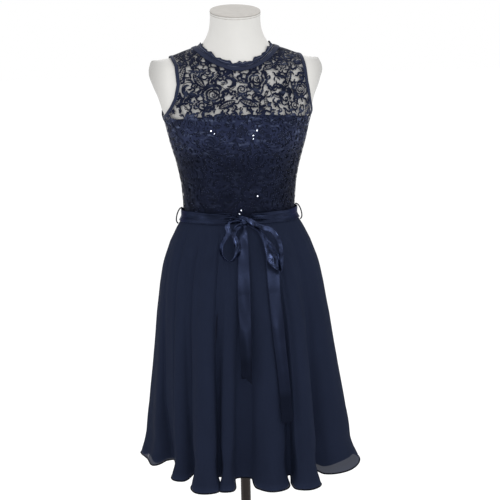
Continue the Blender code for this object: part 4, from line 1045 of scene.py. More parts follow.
# ---------------------------------------------------------------- lace motifs, flat, in millimetres
# Each motif takes its size and the random numbers to draw from, and gives strokes: their points and widths.
def arc(radius, start, end, centre=(0, 0), steps=9):
    turn = np.radians(np.linspace(start, end, steps))
    return np.stack([centre[0] + radius * np.cos(turn), centre[1] + radius * np.sin(turn)], -1)


def taper(count, widest, least=0.25, at=0.5):
    """Widths along a stroke, thickest at the share `at` of its length."""
    share = np.linspace(0, 1, count)
    rise = np.where(share < at, share / max(at, 1e-6), (1 - share) / max(1 - at, 1e-6))
    return widest * (least + (1 - least) * np.sin(rise * math.pi / 2))


def rose(size, pick):
    """A full rose from above: a curled heart and three rounds of overlapping petals."""
    strokes = []
    turn = np.linspace(0, 2.1 * math.pi, 16)
    radius = size * np.linspace(0.03, 0.17, 16)
    heart = np.stack([radius * np.cos(turn), radius * np.sin(turn)], -1)
    strokes.append((heart, np.full(16, size * 0.085)))
    for out, petals, wide in ((0.34, 3, 0.17), (0.59, 4, 0.21), (0.88, 6, 0.30)):
        start = pick.uniform(0, 360)
        for petal in range(petals):
            middle = start + 360 / petals * petal + pick.uniform(-14, 14)
            half = 180 / petals * pick.uniform(0.90, 1.30)
            angle = np.linspace(-half, half, 11)
            lean = pick.uniform(-0.13, 0.13) * angle / half
            swell = 0.84 + 0.20 * np.cos(np.radians(angle * 90 / half)) + lean
            turn = np.radians(middle + angle)
            radius = size * out * swell
            line = np.stack([radius * np.cos(turn), radius * np.sin(turn) * 0.86], -1)
            line = line + pick.uniform(-0.04, 0.04, 2) * size
            widest = size * wide * pick.uniform(0.75, 1.15)
            strokes.append((line, taper(11, widest, 0.28, pick.uniform(0.3, 0.7))))
    return strokes


def blossom(size, pick):
    strokes = [(arc(size * 0.24, 0, 330, steps=9), np.full(9, size * 0.16))]
    for petal in range(5):
        turn = math.radians(72 * petal + pick.uniform(-8, 8))
        reach = np.linspace(0.34, 1.0, 5)[:, None] * size
        line = reach * np.array([math.cos(turn), math.sin(turn)])
        strokes.append((line, taper(5, size * 0.52, 0.3, 0.6)))
    return strokes


def crescent(size, pick):
    """A thick new moon about an open eye, with a thin rim."""
    moon = arc(size * 0.60, -130, 130, steps=15)
    rim = arc(size * 0.98, -160, 70, (-size * 0.12, 0), 13)
    return [(moon, taper(15, size * 0.52, 0.2)), (rim, np.full(13, size * 0.10))]


def leaf(size, pick):
    """A pointed leaf with a midrib and slanting veins."""
    share = np.linspace(0, 1, 11)
    belly = np.sin(share * math.pi) ** 0.8 * size * 0.30
    along = (share - 0.5) * size * 1.7
    strokes = []
    for side in (-1, 1):
        edge = side * belly * (1 if side > 0 else 0.8)
        strokes.append((np.stack([along, edge], -1), taper(11, size * 0.19, 0.4)))
    strokes.append((np.stack([along, 0.05 * size * np.sin(share * 5)], -1), np.full(11, size * 0.07)))
    for place in (-0.42, -0.2, 0.02, 0.24, 0.44):
        reach = math.cos(place * 1.6) ** 0.8 * size * 0.24
        for side in (-1, 1):
            line = np.array([(place * size, 0), ((place + 0.13) * size, side * reach)])
            strokes.append((line, np.array([size * 0.06, size * 0.045])))
    return strokes


def scroll(size, pick):
    """A curling tendril, thick in its bend, with a small bud at the end."""
    turn = np.linspace(0, 1.55 * 2 * math.pi, 24)
    radius = size * (0.10 + 0.42 * (turn / turn[-1]) ** 1.3)
    curl = np.stack([radius * np.cos(turn), radius * np.sin(turn)], -1)
    end = curl[-1]
    tail = end + np.array([(0.12, -0.16), (0.30, -0.30), (0.55, -0.36), (0.80, -0.30)]) * size
    line = np.concatenate([curl, tail])
    bud = arc(size * 0.1, 0, 320, tail[-1], 7)
    return [(line, taper(len(line), size * 0.17, 0.35, 0.7)), (bud, np.full(7, size * 0.14))]


def ladder(size, pick):
    """Two curved rails with rungs between them."""
    share = np.linspace(-0.5, 0.5, 9)
    bend = size * 0.18 * (0.25 - share**2) * 4
    strokes = []
    for side in (-1, 1):
        strokes.append((np.stack([share * size * 1.5, bend + side * 2.6], -1), np.full(9, 1.35)))
    rungs = max(3, int(size * 1.5 / 3.6))
    for rung in range(rungs):
        place = (rung + 0.5) / rungs - 0.5
        middle = size * 0.18 * (0.25 - place**2) * 4
        line = np.array([(place * size * 1.5, middle - 2.6), (place * size * 1.5, middle + 2.6)])
        strokes.append((line, np.array([1.2, 1.2])))
    return strokes


def petal(size, pick):
    """One broad bent petal."""
    bend = pick.uniform(30, 62)
    line = arc(size * 0.5 / math.sin(math.radians(bend)), -bend, bend, steps=9)
    return [(line - line[4], taper(9, size * pick.uniform(0.26, 0.40), 0.15))]


def wave(size, pick):
    """A wavy band."""
    share = np.linspace(-0.5, 0.5, int(size))
    swing, pitch, start = pick.uniform(1.4, 2.6), pick.uniform(0.38, 0.6), pick.uniform(0, 6)
    line = np.stack([share * size, swing * np.sin(share * size * pitch + start)], -1)
    return [(line, taper(len(line), pick.uniform(3.4, 5.6), 0.5))]


def eyelet(size, pick):
    return [(arc(size * 0.55, 0, 345, steps=9), np.full(9, size * 0.42))]


def trefoil(size, pick):
    strokes = []
    for turn in (-1.0, 0.0, 1.0):
        reach = np.linspace(0.1, 1.0, 5)[:, None] * size * (1.0 if turn == 0 else 0.85)
        line = reach * np.array([math.sin(turn), math.cos(turn)])
        strokes.append((line, taper(5, size * 0.42, 0.3, 0.65)))
    return strokes


def bar(size, pick):
    line = np.array([(-size / 2, 0), (0, size * pick.uniform(-0.12, 0.12)), (size / 2, 0)])
    return [(line, np.full(3, pick.uniform(1.2, 1.8)))]


MOTIFS = dict(rose=rose, blossom=blossom, crescent=crescent, leaf=leaf, scroll=scroll, ladder=ladder,
              petal=petal, wave=wave, eyelet=eyelet, trefoil=trefoil, bar=bar)
# What fills the lace between its larger flowers, in this order.
FILLERS = (
    # kind, tries to the square metre, smallest, largest, least and most of it on earlier ones
    ("petal", 14000, 17, 23, 0.0, 0.30),
    ("wave", 40000, 20, 32, 0.0, 0.45),
    ("trefoil", 16000, 11, 16, 0.0, 0.40),
    ("wave", 60000, 10, 18, 0.0, 0.55),
    ("petal", 50000, 8, 13, 0.0, 0.50),
    ("eyelet", 16000, 4.5, 6.0, 0.0, 0.45),
    ("bar", 12000, 6, 10, 0.3, 0.75),
)
HOLE_TRIES = 60000  # to the square metre
HOLE_SPACING = 0.0105
HOLE_SIZES = (0.0014, 0.0042)
HOLES_TOP, HOLES_SIDE = 1.355, 0.078  # no holes on the shoulders, above and beyond these
STROKE_STEP = 1.7  # mm between the points of a stroke
STROKE_LIFT = 0.00025
STROKE_RISE = 0.00032  # the middle of a stroke over its edges
STROKE_GAP = 0.0002  # the least opening kept round a stroke
STROKE_LAYERS = 7  # strokes that cross lie at different heights
LAYER_HEIGHT = 0.00004
CELL = 0.0008
PANEL_ROOM = 0.006
LEAST_ON_PANEL = 0.7
MOST_ON_HOLES = 0.05
SHOULDER_BAND = 0.0045
INSIDE_SHOULDERS = (0.0, 0.0, 1.30)  # a point in the form that the shoulder seams face away from
REPEAT_FROM = 1.060  # height of the repeat's lowest row
REPEAT_HEIGHT = 0.036
REPEAT_DEGREES = 31.0


class LacePanel:
    """A lace panel's surface, which takes flat strokes and holds the strips laid along them."""

    def __init__(self, grid):
        points = grid.reshape(-1, 3)
        faces = grid_faces(*grid.shape[:2])
        self.tree = BVHTree.FromPolygons([tuple(p) for p in points], [tuple(map(int, f)) for f in faces])
        self.points, self.faces, self.count, self.laid = [], [], 0, 0
        self.low = points.min(axis=0) - PANEL_ROOM
        size = (points.max(axis=0) + PANEL_ROOM - self.low) / CELL
        self.filled = np.zeros(np.ceil(size).astype(int), bool)
        self.open = np.zeros_like(self.filled)
        corner = grid[:-1, :-1]
        across = np.cross(grid[1:, :-1] - corner, grid[:-1, 1:] - corner).reshape(-1, 3)
        self.centres = ((corner + grid[1:, 1:]) / 2).reshape(-1, 3)
        self.normals = unit(across)
        areas = np.linalg.norm(across, axis=1)
        self.area = areas.sum()
        self.share = np.cumsum(areas) / self.area

    def spot(self, origin, direction):
        """Where a ray meets the panel, and the panel's outward normal there."""
        hit, normal, _, _ = self.tree.ray_cast(Vector(origin), Vector(direction).normalized(), 3.0)
        if hit is None:
            return None
        normal = np.array(normal)
        return np.array(hit), normal if normal @ np.array(direction) < 0 else -normal

    def cells(self, points):
        return tuple(((points - self.low) / CELL).astype(int).T)

    def any_face(self, pick):
        """The number of a face taken by chance, large ones more often."""
        return min(int(np.searchsorted(self.share, pick.random())), len(self.centres) - 1)

    def fall(self, centre, normal, strokes, turn):
        """Flat strokes round a centre, turned by an angle in degrees, as they fall on the panel: each one's
        points (left, middle, right), and the panel's normals."""
        up = unit(np.array([0.0, 0.0, 1.0]) - normal * normal[2])
        right = np.cross(up, normal)
        c, s = math.cos(math.radians(turn)), math.sin(math.radians(turn))
        axes = np.array([right * c + up * s, up * c - right * s]) * MM
        down = Vector(-normal)
        fallen = []
        for line, widths in strokes:
            line = np.asarray(line, float)
            length = np.linalg.norm(np.diff(line, axis=0), axis=1).sum()
            count = max(3, int(round(length / STROKE_STEP)) + 1)
            at = np.linspace(0, len(line) - 1, count)
            line = smooth_rows(line, at)
            widths = np.interp(at, np.arange(len(widths)), widths)
            widths = widths * (1 + 0.16 * np.sin(2.3 * np.arange(count) + 5.0 * line[:, 0]))
            ahead = unit(np.gradient(line, axis=0))
            across = np.stack([-ahead[:, 1], ahead[:, 0]], -1) * widths[:, None] / 2
            flat = np.stack([line - across, line, line + across], 1)
            starts = centre + normal * 0.02 + flat @ axes
            points = np.full(starts.shape, np.nan)
            facing = np.full(starts.shape, np.nan)
            for station in range(count):
                for place in range(3):
                    hit, direct, _, _ = self.tree.ray_cast(Vector(starts[station, place]), down, 0.06)
                    if hit is not None:
                        points[station, place] = hit
                        facing[station, place] = direct
            facing = np.where((facing @ normal)[..., None] < 0, -facing, facing)
            fallen.append((points, facing))
        return fallen

    def overlap(self, fallen):
        """The share of strokes that lies on earlier ones; 1 where most of it misses the panel or where it
        would close a hole."""
        points = np.concatenate([points.reshape(-1, 3) for points, _ in fallen])
        found = points[~np.isnan(points[:, 0])]
        if len(found) < LEAST_ON_PANEL * len(points):
            return 1.0
        if self.open[self.cells(found)].mean() > MOST_ON_HOLES:
            return 1.0
        return float(self.filled[self.cells(found)].mean())

    def seam(self, path, inward, width):
        """A narrow band along an edge of the panel."""
        run = np.stack([path, path + inward * width / 2, path + inward * width], 1)
        down = unit(np.gradient(path, axis=0))
        out = unit(np.cross(down, inward))
        out = out * np.sign(np.sum(out * (path - INSIDE_SHOULDERS), axis=1, keepdims=True))
        facing = np.repeat(out[:, None], 3, axis=1)
        self.keep([(run, facing)])

    def cut_holes(self, pick):
        """Keeps round spots of the net free, where no flower lies."""
        spots = []
        for _ in range(int(HOLE_TRIES * self.area)):
            centre = self.centres[self.any_face(pick)]
            if self.filled[self.cells(centre[None])][0]:
                continue
            if centre[2] > HOLES_TOP and abs(centre[0]) > HOLES_SIDE:
                continue
            if spots and np.linalg.norm(np.array(spots) - centre, axis=1).min() < HOLE_SPACING:
                continue
            spots.append(centre)
            reach = pick.uniform(*HOLE_SIZES)
            steps = np.arange(-reach, reach + CELL, CELL)
            ball = np.stack(np.meshgrid(steps, steps, steps), -1).reshape(-1, 3)
            ball = ball[np.linalg.norm(ball * (1, 1, pick.uniform(0.7, 1.5)), axis=1) < reach]
            self.open[self.cells(centre + ball)] = True

    def keep(self, fallen):
        for points, facing in fallen:
            self.laid += 1
            lift = STROKE_LIFT + (self.laid % STROKE_LAYERS) * LAYER_HEIGHT
            good = ~np.isnan(points).any(axis=(1, 2))
            edges = np.flatnonzero(np.diff(np.concatenate([[False], good, [False]]).astype(int)))
            for start, end in zip(edges[::2], edges[1::2]):
                if end - start < 2:
                    continue
                run, out = points[start:end], facing[start:end]
                self.mark(run)
                rise = lift + np.array([0.0, STROKE_RISE, 0.0])[None, :, None]
                self.points.append((run + out * rise).reshape(-1, 3))
                self.faces.append(grid_faces(end - start, 3, start=self.count)[:, ::-1])
                self.count += (end - start) * 3

    def mark(self, run):
        """Notes where a stroke lies, with the opening that is kept round it."""
        along = np.concatenate([run, (run[1:] + run[:-1]) / 2])
        half = (along[:, 2] - along[:, 0]) / 2
        width = np.linalg.norm(half, axis=1, keepdims=True)
        reach = half * (1 + STROKE_GAP / np.maximum(width, 1e-5))
        for share in np.linspace(-1, 1, 9):
            self.filled[self.cells(along[:, 1] + reach * share)] = True

    def motif(self, kind, size, turn, origin, direction, pick):
        found = self.spot(origin, direction)
        if found is not None:
            self.keep(self.fall(*found, MOTIFS[kind](size, pick), turn))

    def fill(self, pick):
        for kind, density, low, high, least, most in FILLERS:
            for _ in range(int(density * self.area)):
                face = self.any_face(pick)
                centre = self.centres[face]
                here = self.cells(centre[None])
                if self.open[here][0] or (least == 0 and self.filled[here][0]):
                    continue
                strokes = MOTIFS[kind](pick.uniform(low, high), pick)
                fallen = self.fall(centre, self.normals[face], strokes, pick.uniform(0, 360))
                if least <= self.overlap(fallen) <= most:
                    self.keep(fallen)

    def build(self, name, look):
        return mesh_object(name, np.concatenate(self.points), np.concatenate(self.faces), look)


def bodice_repeat(panel, pick, z_high, middle, reach):
    """The lace's repeat up to a height, so many degrees to both sides of a middle: staggered rows of roses,
    crescents and ladders."""
    for row, z in enumerate(np.arange(REPEAT_FROM, z_high, REPEAT_HEIGHT)):
        for step in range(-5, 6):
            degrees = (step + 0.5 * (row % 2)) * REPEAT_DEGREES
            if abs(degrees) > reach:
                continue
            phi = math.radians(middle + degrees)
            out = np.array([math.sin(phi), -math.cos(phi), 0.0])
            kind, size = (("rose", 20), ("crescent", 15), ("ladder", 20))[(step + row) % 3]
            spot = out * 0.6 + (0, 0, z + pick.uniform(-3, 3) * MM)
            panel.motif(kind, size * pick.uniform(0.9, 1.08), pick.uniform(0, 360), spot, -out, pick)


def lace(net_look, yarn_look):
    """The lace: a sheer net, and on it corded flowers, leaves and bands."""
    pick = np.random.default_rng(7)
    for word, part in PANELS:
        grid = lace_surface(part, 150 if part == "front" else 80)
        net = cloth_piece("lace_net_" + word, grid, net_look, "lace_" + word)
        panel = LacePanel(grid)
        if part == "front":
            for kind, x, z, size, turn in YOKE_MOTIFS:
                panel.motif(kind, size, turn, (x * MM, -0.6, z * MM), (0, 1, 0), pick)
            bodice_repeat(panel, pick, z_high=1.250, middle=0, reach=96)
        else:
            bodice_repeat(panel, pick, z_high=1.385, middle=180 - part * 48, reach=50)
        for edge, neighbour in ((0, 4), (-1, -5)):
            if part == "front" or (edge == 0) == (part > 0):
                path = grid[:SHOULDER_ROWS, edge]
                panel.seam(path, unit(grid[:SHOULDER_ROWS, neighbour] - path), SHOULDER_BAND)
        panel.cut_holes(pick)
        panel.fill(pick)
        motifs = finish_piece(panel.build("lace_motifs_" + word, yarn_look))


BINDING_OUT = 0.0006  # past the armhole's edge
BINDING_EASE = 0.0002
BINDING_LIFT = 0.0006
BINDING_PUFF = 0.0011
STITCH_INSET = 0.0016
STITCH_LIFT = 0.0014


def armhole_bindings(look, stitch_look):
    """A puffed binding round each armhole, with the line of stitches that holds it."""
    rows = armhole_rows(60)
    t = np.concatenate([rows, rows[-2:0:-1]])
    step = np.arange(len(t))
    ripple = 1 + 0.10 * np.sin(step * 1.9) + 0.07 * np.sin(step * 0.77)
    for side, word in SIDES:
        front = armhole_angle(rows, side)
        back = math.pi - armhole_angle(rows, side, True)
        phi = np.concatenate([front, back[-2:0:-1]])
        edge = body(t, phi)
        forward = np.roll(edge, -1, axis=0) - np.roll(edge, 1, axis=0)
        inward = np.cross(forward, body_frame(t, phi)[3])
        inward *= np.sign(np.sum(inward * (edge.mean(axis=0) - edge), -1, keepdims=True))
        rings = []
        for turn in np.linspace(0, 2 * math.pi, 17)[:-1]:
            share = 0.5 - 0.5 * math.cos(turn)
            at_t, at_phi = slide(t, phi, inward, -BINDING_OUT + share * (BINDING_WIDTH + BINDING_EASE))
            puff = np.sign(math.sin(turn)) * abs(math.sin(turn)) ** 0.7
            rise = lace_lift(t) + BINDING_LIFT + puff * BINDING_PUFF * ripple
            rings.append(over_body(at_t, at_phi, rise) * (side, 1, 1))
        grid = np.array(rings + [rings[0]])
        obj = cloth_piece("binding_armhole_" + word, grid if side < 0 else grid[:, ::-1], look,
                          "armhole_binding_" + word, ring=True)
        at_t, at_phi = slide(t, phi, inward, BINDING_WIDTH - STITCH_INSET)
        line = over_body(at_t, at_phi, lace_lift(t) + STITCH_LIFT) * (side, 1, 1)
        stitches = roll_piece("binding_stitches_" + word, line, STITCH_RADIUS, 5, stitch_look,
                              closed=True)


def neckline_strip(start, width, lift, rows, columns, ripple=0.0):
    """A strip round the neckline, from start to start + width up from the lace's edge, open at the back. It
    lies flat on the lace, or ripples and stands on the bare form."""
    gap = SEAM / BODY_RINGS[NECKLINE][3]
    phi = np.linspace(-math.pi + gap, math.pi - gap, columns + 1)
    t = np.full_like(phi, NECKLINE)
    up = body_frame(t, phi)[1]
    wave = 0.42 * np.sin(13 * phi + 0.6) + 0.42 * np.sin(23 * phi + 2.0) + 0.22 * np.sin(41 * phi + 0.4)
    peak = np.exp(-(((np.abs(phi) - math.pi / 2) / 0.20) ** 2))
    if ripple:
        width = width * (1 - 0.14 * np.sin(2 * phi) ** 2 + 0.30 * peak)
    grid = []
    for share in np.linspace(1, 0, rows):
        distance = start + width * share + ripple * share**1.5 * wave
        at_t, at_phi = slide(t, phi, up, distance)
        rise = lift + ripple * 0.32 * share * np.sin(14 * phi) + ripple * 0.16 * share * np.sin(37 * phi + 1)
        rise = rise + (0 if ripple else lace_lift(at_t))
        grid.append(over_body(at_t, at_phi, rise))
    return np.array(grid)


# Painted glints of the neck edging, lighter lines along its folds: degrees from, to, share across the ruffle
# or the tape, how thick in mm.
NECK_GLINTS = (
    (-82, -52, 0.45, 0.50),
    (-76, -58, 0.90, 0.35),
    (-48, -38, 0.30, 0.40),
    (-36, -14, 0.50, 0.60),
    (-17, 3, 1.15, 0.50),
    (-5, 15, 0.30, 0.60),
    (9, 22, 0.95, 0.35),
    (26, 44, 0.35, 0.45),
    (46, 60, 1.20, 0.45),
    (48, 84, 0.50, 0.60),
    (100, 150, 0.50, 0.45),
    (-160, -112, 0.45, 0.45),
)
GLINT_GAIN = 1.25
GLINT_LIFT = 0.0011
TAPE_START = 0.0005  # below the neckline's edge
TAPE_PUFF = 0.0005
RUFFLE_START = 0.0006  # above it
RUFFLE_RIPPLE = 0.0030


def painted_crease_glints(ruffle_grid, tape_grid, look):
    """Thin creases along the neck edging in a lighter colour: painted highlights where its folds catch the
    light.
    """
    columns = ruffle_grid.shape[1]
    angle = np.linspace(-180, 180, columns)
    parts = []
    for start, end, share, thick in NECK_GLINTS:
        here = np.flatnonzero((angle >= start) & (angle <= end))
        if share <= 1:
            line = ruffle_grid[int(share * (len(ruffle_grid) - 1)), here]
        else:
            at = (here * (tape_grid.shape[1] - 1) / (columns - 1)).astype(int)
            line = tape_grid[int((share - 1) * (len(tape_grid) - 1)), at]
        line = line[:: max(1, len(line) // 40)]
        out = unit(line * (1, 1, 0)) * GLINT_LIFT
        wide = thick * GLINT_GAIN * MM * np.sin(np.linspace(0.05, math.pi - 0.05, len(line))) ** 0.5
        parts.append(tube_mesh(line + out, wide, 6))
    return joined("neck_glints", parts, look)


def neckline(look, glint_look):
    """The satin tape over the neckline's seam, and the gathered edging that stands up from it."""
    tape_grid = neckline_strip(-TAPE_WIDTH - TAPE_START, TAPE_WIDTH, TAPE_LIFT, rows=7, columns=420)
    puff = TAPE_PUFF * np.sin(np.linspace(0, math.pi, 7))[:, None, None]
    tape_grid = tape_grid + grid_normals(tape_grid) * puff
    tape = cloth_piece("neck_tape", tape_grid, look, "neckline_tape", thick=TAPE_WALL)
    ruffle_grid = neckline_strip(RUFFLE_START, RUFFLE_WIDTH, RUFFLE_LIFT, rows=10, columns=640,
                                 ripple=RUFFLE_RIPPLE)
    ruffle = cloth_piece("neck_ruffle", ruffle_grid, look, "neckline_ruffle", thick=RUFFLE_WALL)
    roll = roll_piece("neck_ruffle_roll", ruffle_grid[0], EDGE_ROLL, 6, look)
    finish_piece(painted_crease_glints(ruffle_grid, tape_grid, glint_look))


# ---------------------------------------------------------------- skirt
def skirt_grids(pitch, rows):
    """The whole skirt's grid, the rows' shares of its length, the columns' angles at the hem, the seams."""
    waist, angle, out, seams = skirt_columns(pitch)
    shares = np.linspace(0, 1, rows) ** 1.15
    whole = np.stack([skirt_surface(v, waist, angle, out) for v in shares])
    crest = np.clip((out - CREST_FROM) / CREST_SPAN, 0, 1)
    roll = np.clip((shares - BELL_START) / (1 - BELL_START), 0, 1) ** 1.6
    drawn = np.exp(-(((shares - NECK_SHARE) / NECK_WIDTH) ** 2)) * (1 - roll)
    front = np.clip((np.cos(angle) + 0.1) / 0.5, 0.2, 1)
    curl = BELL_REACH * roll[:, None] - NECK_REACH * drawn[:, None] * front
    whole = whole + closed_normals(whole) * (curl * crest)[..., None]
    whole[..., 2] += VALLEY_RISE * roll[:, None] * (1 - crest)
    return whole, shares, angle, seams


def seam_trimmed(part, shares, at_zip):
    """The panel's grid with its side edges drawn back from the seams, and from the zip while it lasts."""
    part = part.copy()
    for edge, neighbour, zipped in ((0, 1, at_zip[0]), (-1, -2, at_zip[1])):
        along = unit(part[:, neighbour] - part[:, edge])
        gap = np.where(zipped & (shares <= ZIP_SKIRT_SHARE), ZIP_HALF_WIDTH, SEAM / 2)
        part[:, edge] += along * gap[:, None]
    return part


def skirt(chiffon_look, edge_look):
    """The folded chiffon with its rolled hem, in three panels."""
    whole, shares, _, seams = skirt_grids(CHIFFON_PITCH, rows=110)
    for (name, cut), first, last in zip(CHIFFON_CUTS.items(), seams[:-1], seams[1:]):
        zips = (name == "back_left", name == "back_right")
        part = seam_trimmed(whole[:, first : last + 1], shares, zips)
        obj = cloth_piece("chiffon_" + name, part, chiffon_look, "skirt_" + name)
        hem = roll_piece("chiffon_hem_" + name, part[-1], CHIFFON_ROLL, 6, edge_look)


def skirt_lining(look):
    """The opaque slip: it hangs in the chiffon's folds and ends a little above its hem."""
    whole, shares, angle, seams = skirt_grids(SLIP_PITCH, rows=64)
    rise = LINING_RISE + 0 * angle
    for centre, half, height in LINING_FLARES:
        beside = np.angle(np.exp(1j * (angle - math.radians(centre)))) / math.radians(half)
        rise = rise + (height - LINING_RISE) * np.exp(-(beside**4))
    normals = closed_normals(whole)
    normals[0, :, 2] = 0
    normals[0] = unit(normals[0])
    inner = whole - normals * np.interp(shares, *np.array(LINING_GAP).T)[:, None, None]
    down = np.cumsum(np.linalg.norm(np.diff(inner, axis=0), axis=-1), axis=0)
    down = np.concatenate([np.zeros((1, inner.shape[1])), down])
    short = np.empty_like(inner)
    for column in range(inner.shape[1]):
        keep = np.linspace(0, 1, len(shares)) * (down[-1, column] - rise[column])
        for axis in range(3):
            short[:, column, axis] = np.interp(keep, down[:, column], inner[:, column, axis])
    right = seams[1]
    for name, first, last in (("front", 0, right), ("back", right, whole.shape[1] - 1)):
        part = short[:, first : last + 1]
        obj = cloth_piece("slip_" + name, part, look, "skirt_lining_" + name, thick=SLIP_WALL)
        fold = roll_piece("slip_hem_" + name, part[-1], EDGE_ROLL, 6, look)


# ---------------------------------------------------------------- ribbon
def belt(look):
    """The satin ribbon round the waist, gathered into pleats under the knot."""
    phi = round_angles(420)
    near_knot = np.exp(-((phi / 0.20) ** 2))
    gather = np.exp(-((phi / 0.50) ** 2))
    side = np.where(phi > 0, 1.0, -1.0)
    half = BELT_HEIGHT / 2 * (1 - (1 - BELT_PINCH) * near_knot)
    middle = BELT_Z - BELT_DIP * near_knot
    sag = 0.0007 * np.sin(5 * phi + 1.0) + 0.0005 * np.sin(11 * phi)
    grid = []
    for share in np.linspace(1, -1, 22):
        z = middle + half * share + sag * (1 - near_knot)
        flare = contour(SKIRT_RINGS, np.minimum(z, WAIST_Z), phi)
        bodice = over_body(WAIST + np.maximum(z - BELT_Z, 0) / BELT_RISE, phi, 0.0 * phi)
        radius = np.maximum(flare - BELT_INSET, np.hypot(bodice[:, 0], bodice[:, 1])) + BELT_LIFT
        pleats = np.sin(share * 7.5 + side * 1.2 + 2.0 * np.abs(phi)) * 0.8
        pleats = pleats + 0.5 * np.sin(share * 13 + phi * 9)
        long = 0.25 * np.sin(share * 3.1 + 4 * phi) + 0.18 * np.sin(7 * phi + 2 * share)
        radius = radius + PLEAT_HEIGHT * gather * pleats + MM * (1 - gather) * long
        grid.append(np.stack([radius * np.sin(phi), -radius * np.cos(phi), z], -1))
    obj = cloth_piece("belt_ribbon", np.array(grid), look, "waist_ribbon", True, RIBBON_WALL)


def ribbon(name, centres, across, widths, crease, curl, slant, look):
    """A length of the bow's ribbon along its centre line: crease gives its small folds by the shares of its
    length and width, curl cups it across, and slant cuts its end askew."""
    along = unit(np.gradient(centres, axis=0))
    across = unit(across)
    across = unit(across - along * np.sum(across * along, 1, keepdims=True))
    normal = np.cross(along, across)
    length = np.linspace(0, 1, len(centres))
    grid = []
    for share in np.linspace(-0.5, 0.5, RIBBON_COLUMNS):
        lift = curl * (0.25 - share * share) * 4 * widths + crease(length, share)
        edge = centres + across * (widths * share)[:, None] + normal * lift[:, None]
        edge[-1] += along[-1] * slant * share
        grid.append(edge)
    grid = np.array(grid)
    obj = cloth_piece(name + "_satin", grid, look, name, thick=RIBBON_WALL)


def bow_loop(name, table, phase, look):
    """A loop of the bow on its table's path, tucked where it goes into the knot."""
    at = np.linspace(0, len(table) - 1, 12 * (len(table) - 1) + 1)
    x, depth, z, across_x, across_depth, across_z, widths = np.moveaxis(smooth_rows(table, at), -1, 0)

    def crease(length, share):
        near = np.exp(-((length / 0.16) ** 2)) + np.exp(-(((1 - length) / 0.16) ** 2))
        tucks = 0.0011 * near * np.sin(13 * share + 30 * length + phase)
        return tucks + 0.0008 * np.sin(9 * length + 5 * share + phase) * np.sin(length * math.pi)

    across = np.stack([across_x, -across_depth, across_z], -1)
    ribbon(name, np.stack([x, -depth, z], -1), across, widths, crease, LOOP_CURL, 0.0, look)


def bow_tail(name, table, slant, phase, look):
    """A tail of the bow, which hangs close over the skirt."""
    at = np.linspace(0, len(table) - 1, 14 * (len(table) - 1) + 1)
    x, z, widths, lift = np.moveaxis(smooth_rows(table, at), -1, 0)
    depth = np.maximum(outline_depth(x, np.minimum(z, WAIST_Z)) + lift + TAIL_CLEAR, TAIL_ROOT)

    def crease(length, share):
        soft = 0.0011 * np.sin(7.3 * length + 3.0 * share + phase) + 0.0007 * np.sin(17 * length - 4 * share)
        return soft * np.clip(length * 4, 0, 1) + 0.0012 * share * np.sin(5 * length + phase)

    across = np.tile([1.0, 0.0, 0.0], (len(at), 1))
    ribbon(name, np.stack([x, -depth, z], -1), across, widths, crease, TAIL_CURL, slant, look)


def knot(look):
    """The wrapped knot: a rounded pad of ribbon with pleats that run over it on the slant."""
    around, up = 72, 48
    turn = 2 * math.pi * np.arange(around) / around
    grid = []
    for row in range(up + 1):
        high = math.pi / 2 - math.pi * row / up
        level = max(math.cos(high), 0.01)
        ring = np.stack([np.cos(turn) * level, np.sin(turn) * level, np.full(around, math.sin(high))], -1)
        x, _, z = ring.T
        pleat = 0.05 * np.sin(10 * x + 3.2 * z) + 0.03 * np.sin(17 * x - 4 * z)
        rounded = np.sign(ring) * np.abs(ring) ** 0.85 * np.array(KNOT_RADII)
        grid.append(np.array(KNOT_CENTRE) + rounded * (1 + pleat)[:, None])
    obj = cloth_piece("knot_satin", np.array(grid), look, "bow_knot", ring=True)


def belt_loops(look):
    """Thread carriers: two plies twisted into a loop at each side seam."""
    at = np.linspace(0, len(BELT_LOOP_PATH) - 1, 90)
    out, z = np.moveaxis(smooth_rows(BELT_LOOP_PATH, at), -1, 0)
    turn = np.linspace(0, PLY_TURNS * 2 * math.pi, len(at))[:, None]
    for side, word in SIDES:
        path = np.stack([side * out, 0 * out, z], -1)
        one = np.cross(unit(np.gradient(path, axis=0)), (0.0, 1.0, 0.0))
        plies = []
        for start in (0.0, math.pi):
            offset = one * np.cos(turn + start) + np.array([0.0, 1.0, 0.0]) * np.sin(turn + start)
            plies.append(tube_mesh(path + offset * PLY_OFFSET, PLY_RADIUS, 6))
        finish_piece(joined("thread_loop_" + word, plies, look), ["belt_loop_" + word])


ZIP_PROFILE = (
    # share of half the width, how far out
    (-1.0, -0.0002),
    (-0.75, 0.0004),
    (-0.4, 0.0006),
    (-0.08, 0.0003),
    (0.0, -0.0005),
    (0.08, 0.0003),
    (0.4, 0.0006),
    (0.75, 0.0004),
    (1.0, -0.0002),
)
ZIP_LIFT = 0.0007
ZIP_FROM = 0.012  # share of the skirt's length at which its part of the zip starts
ZIP_OUT = 0.0003
ZIP_EASE = 0.0001


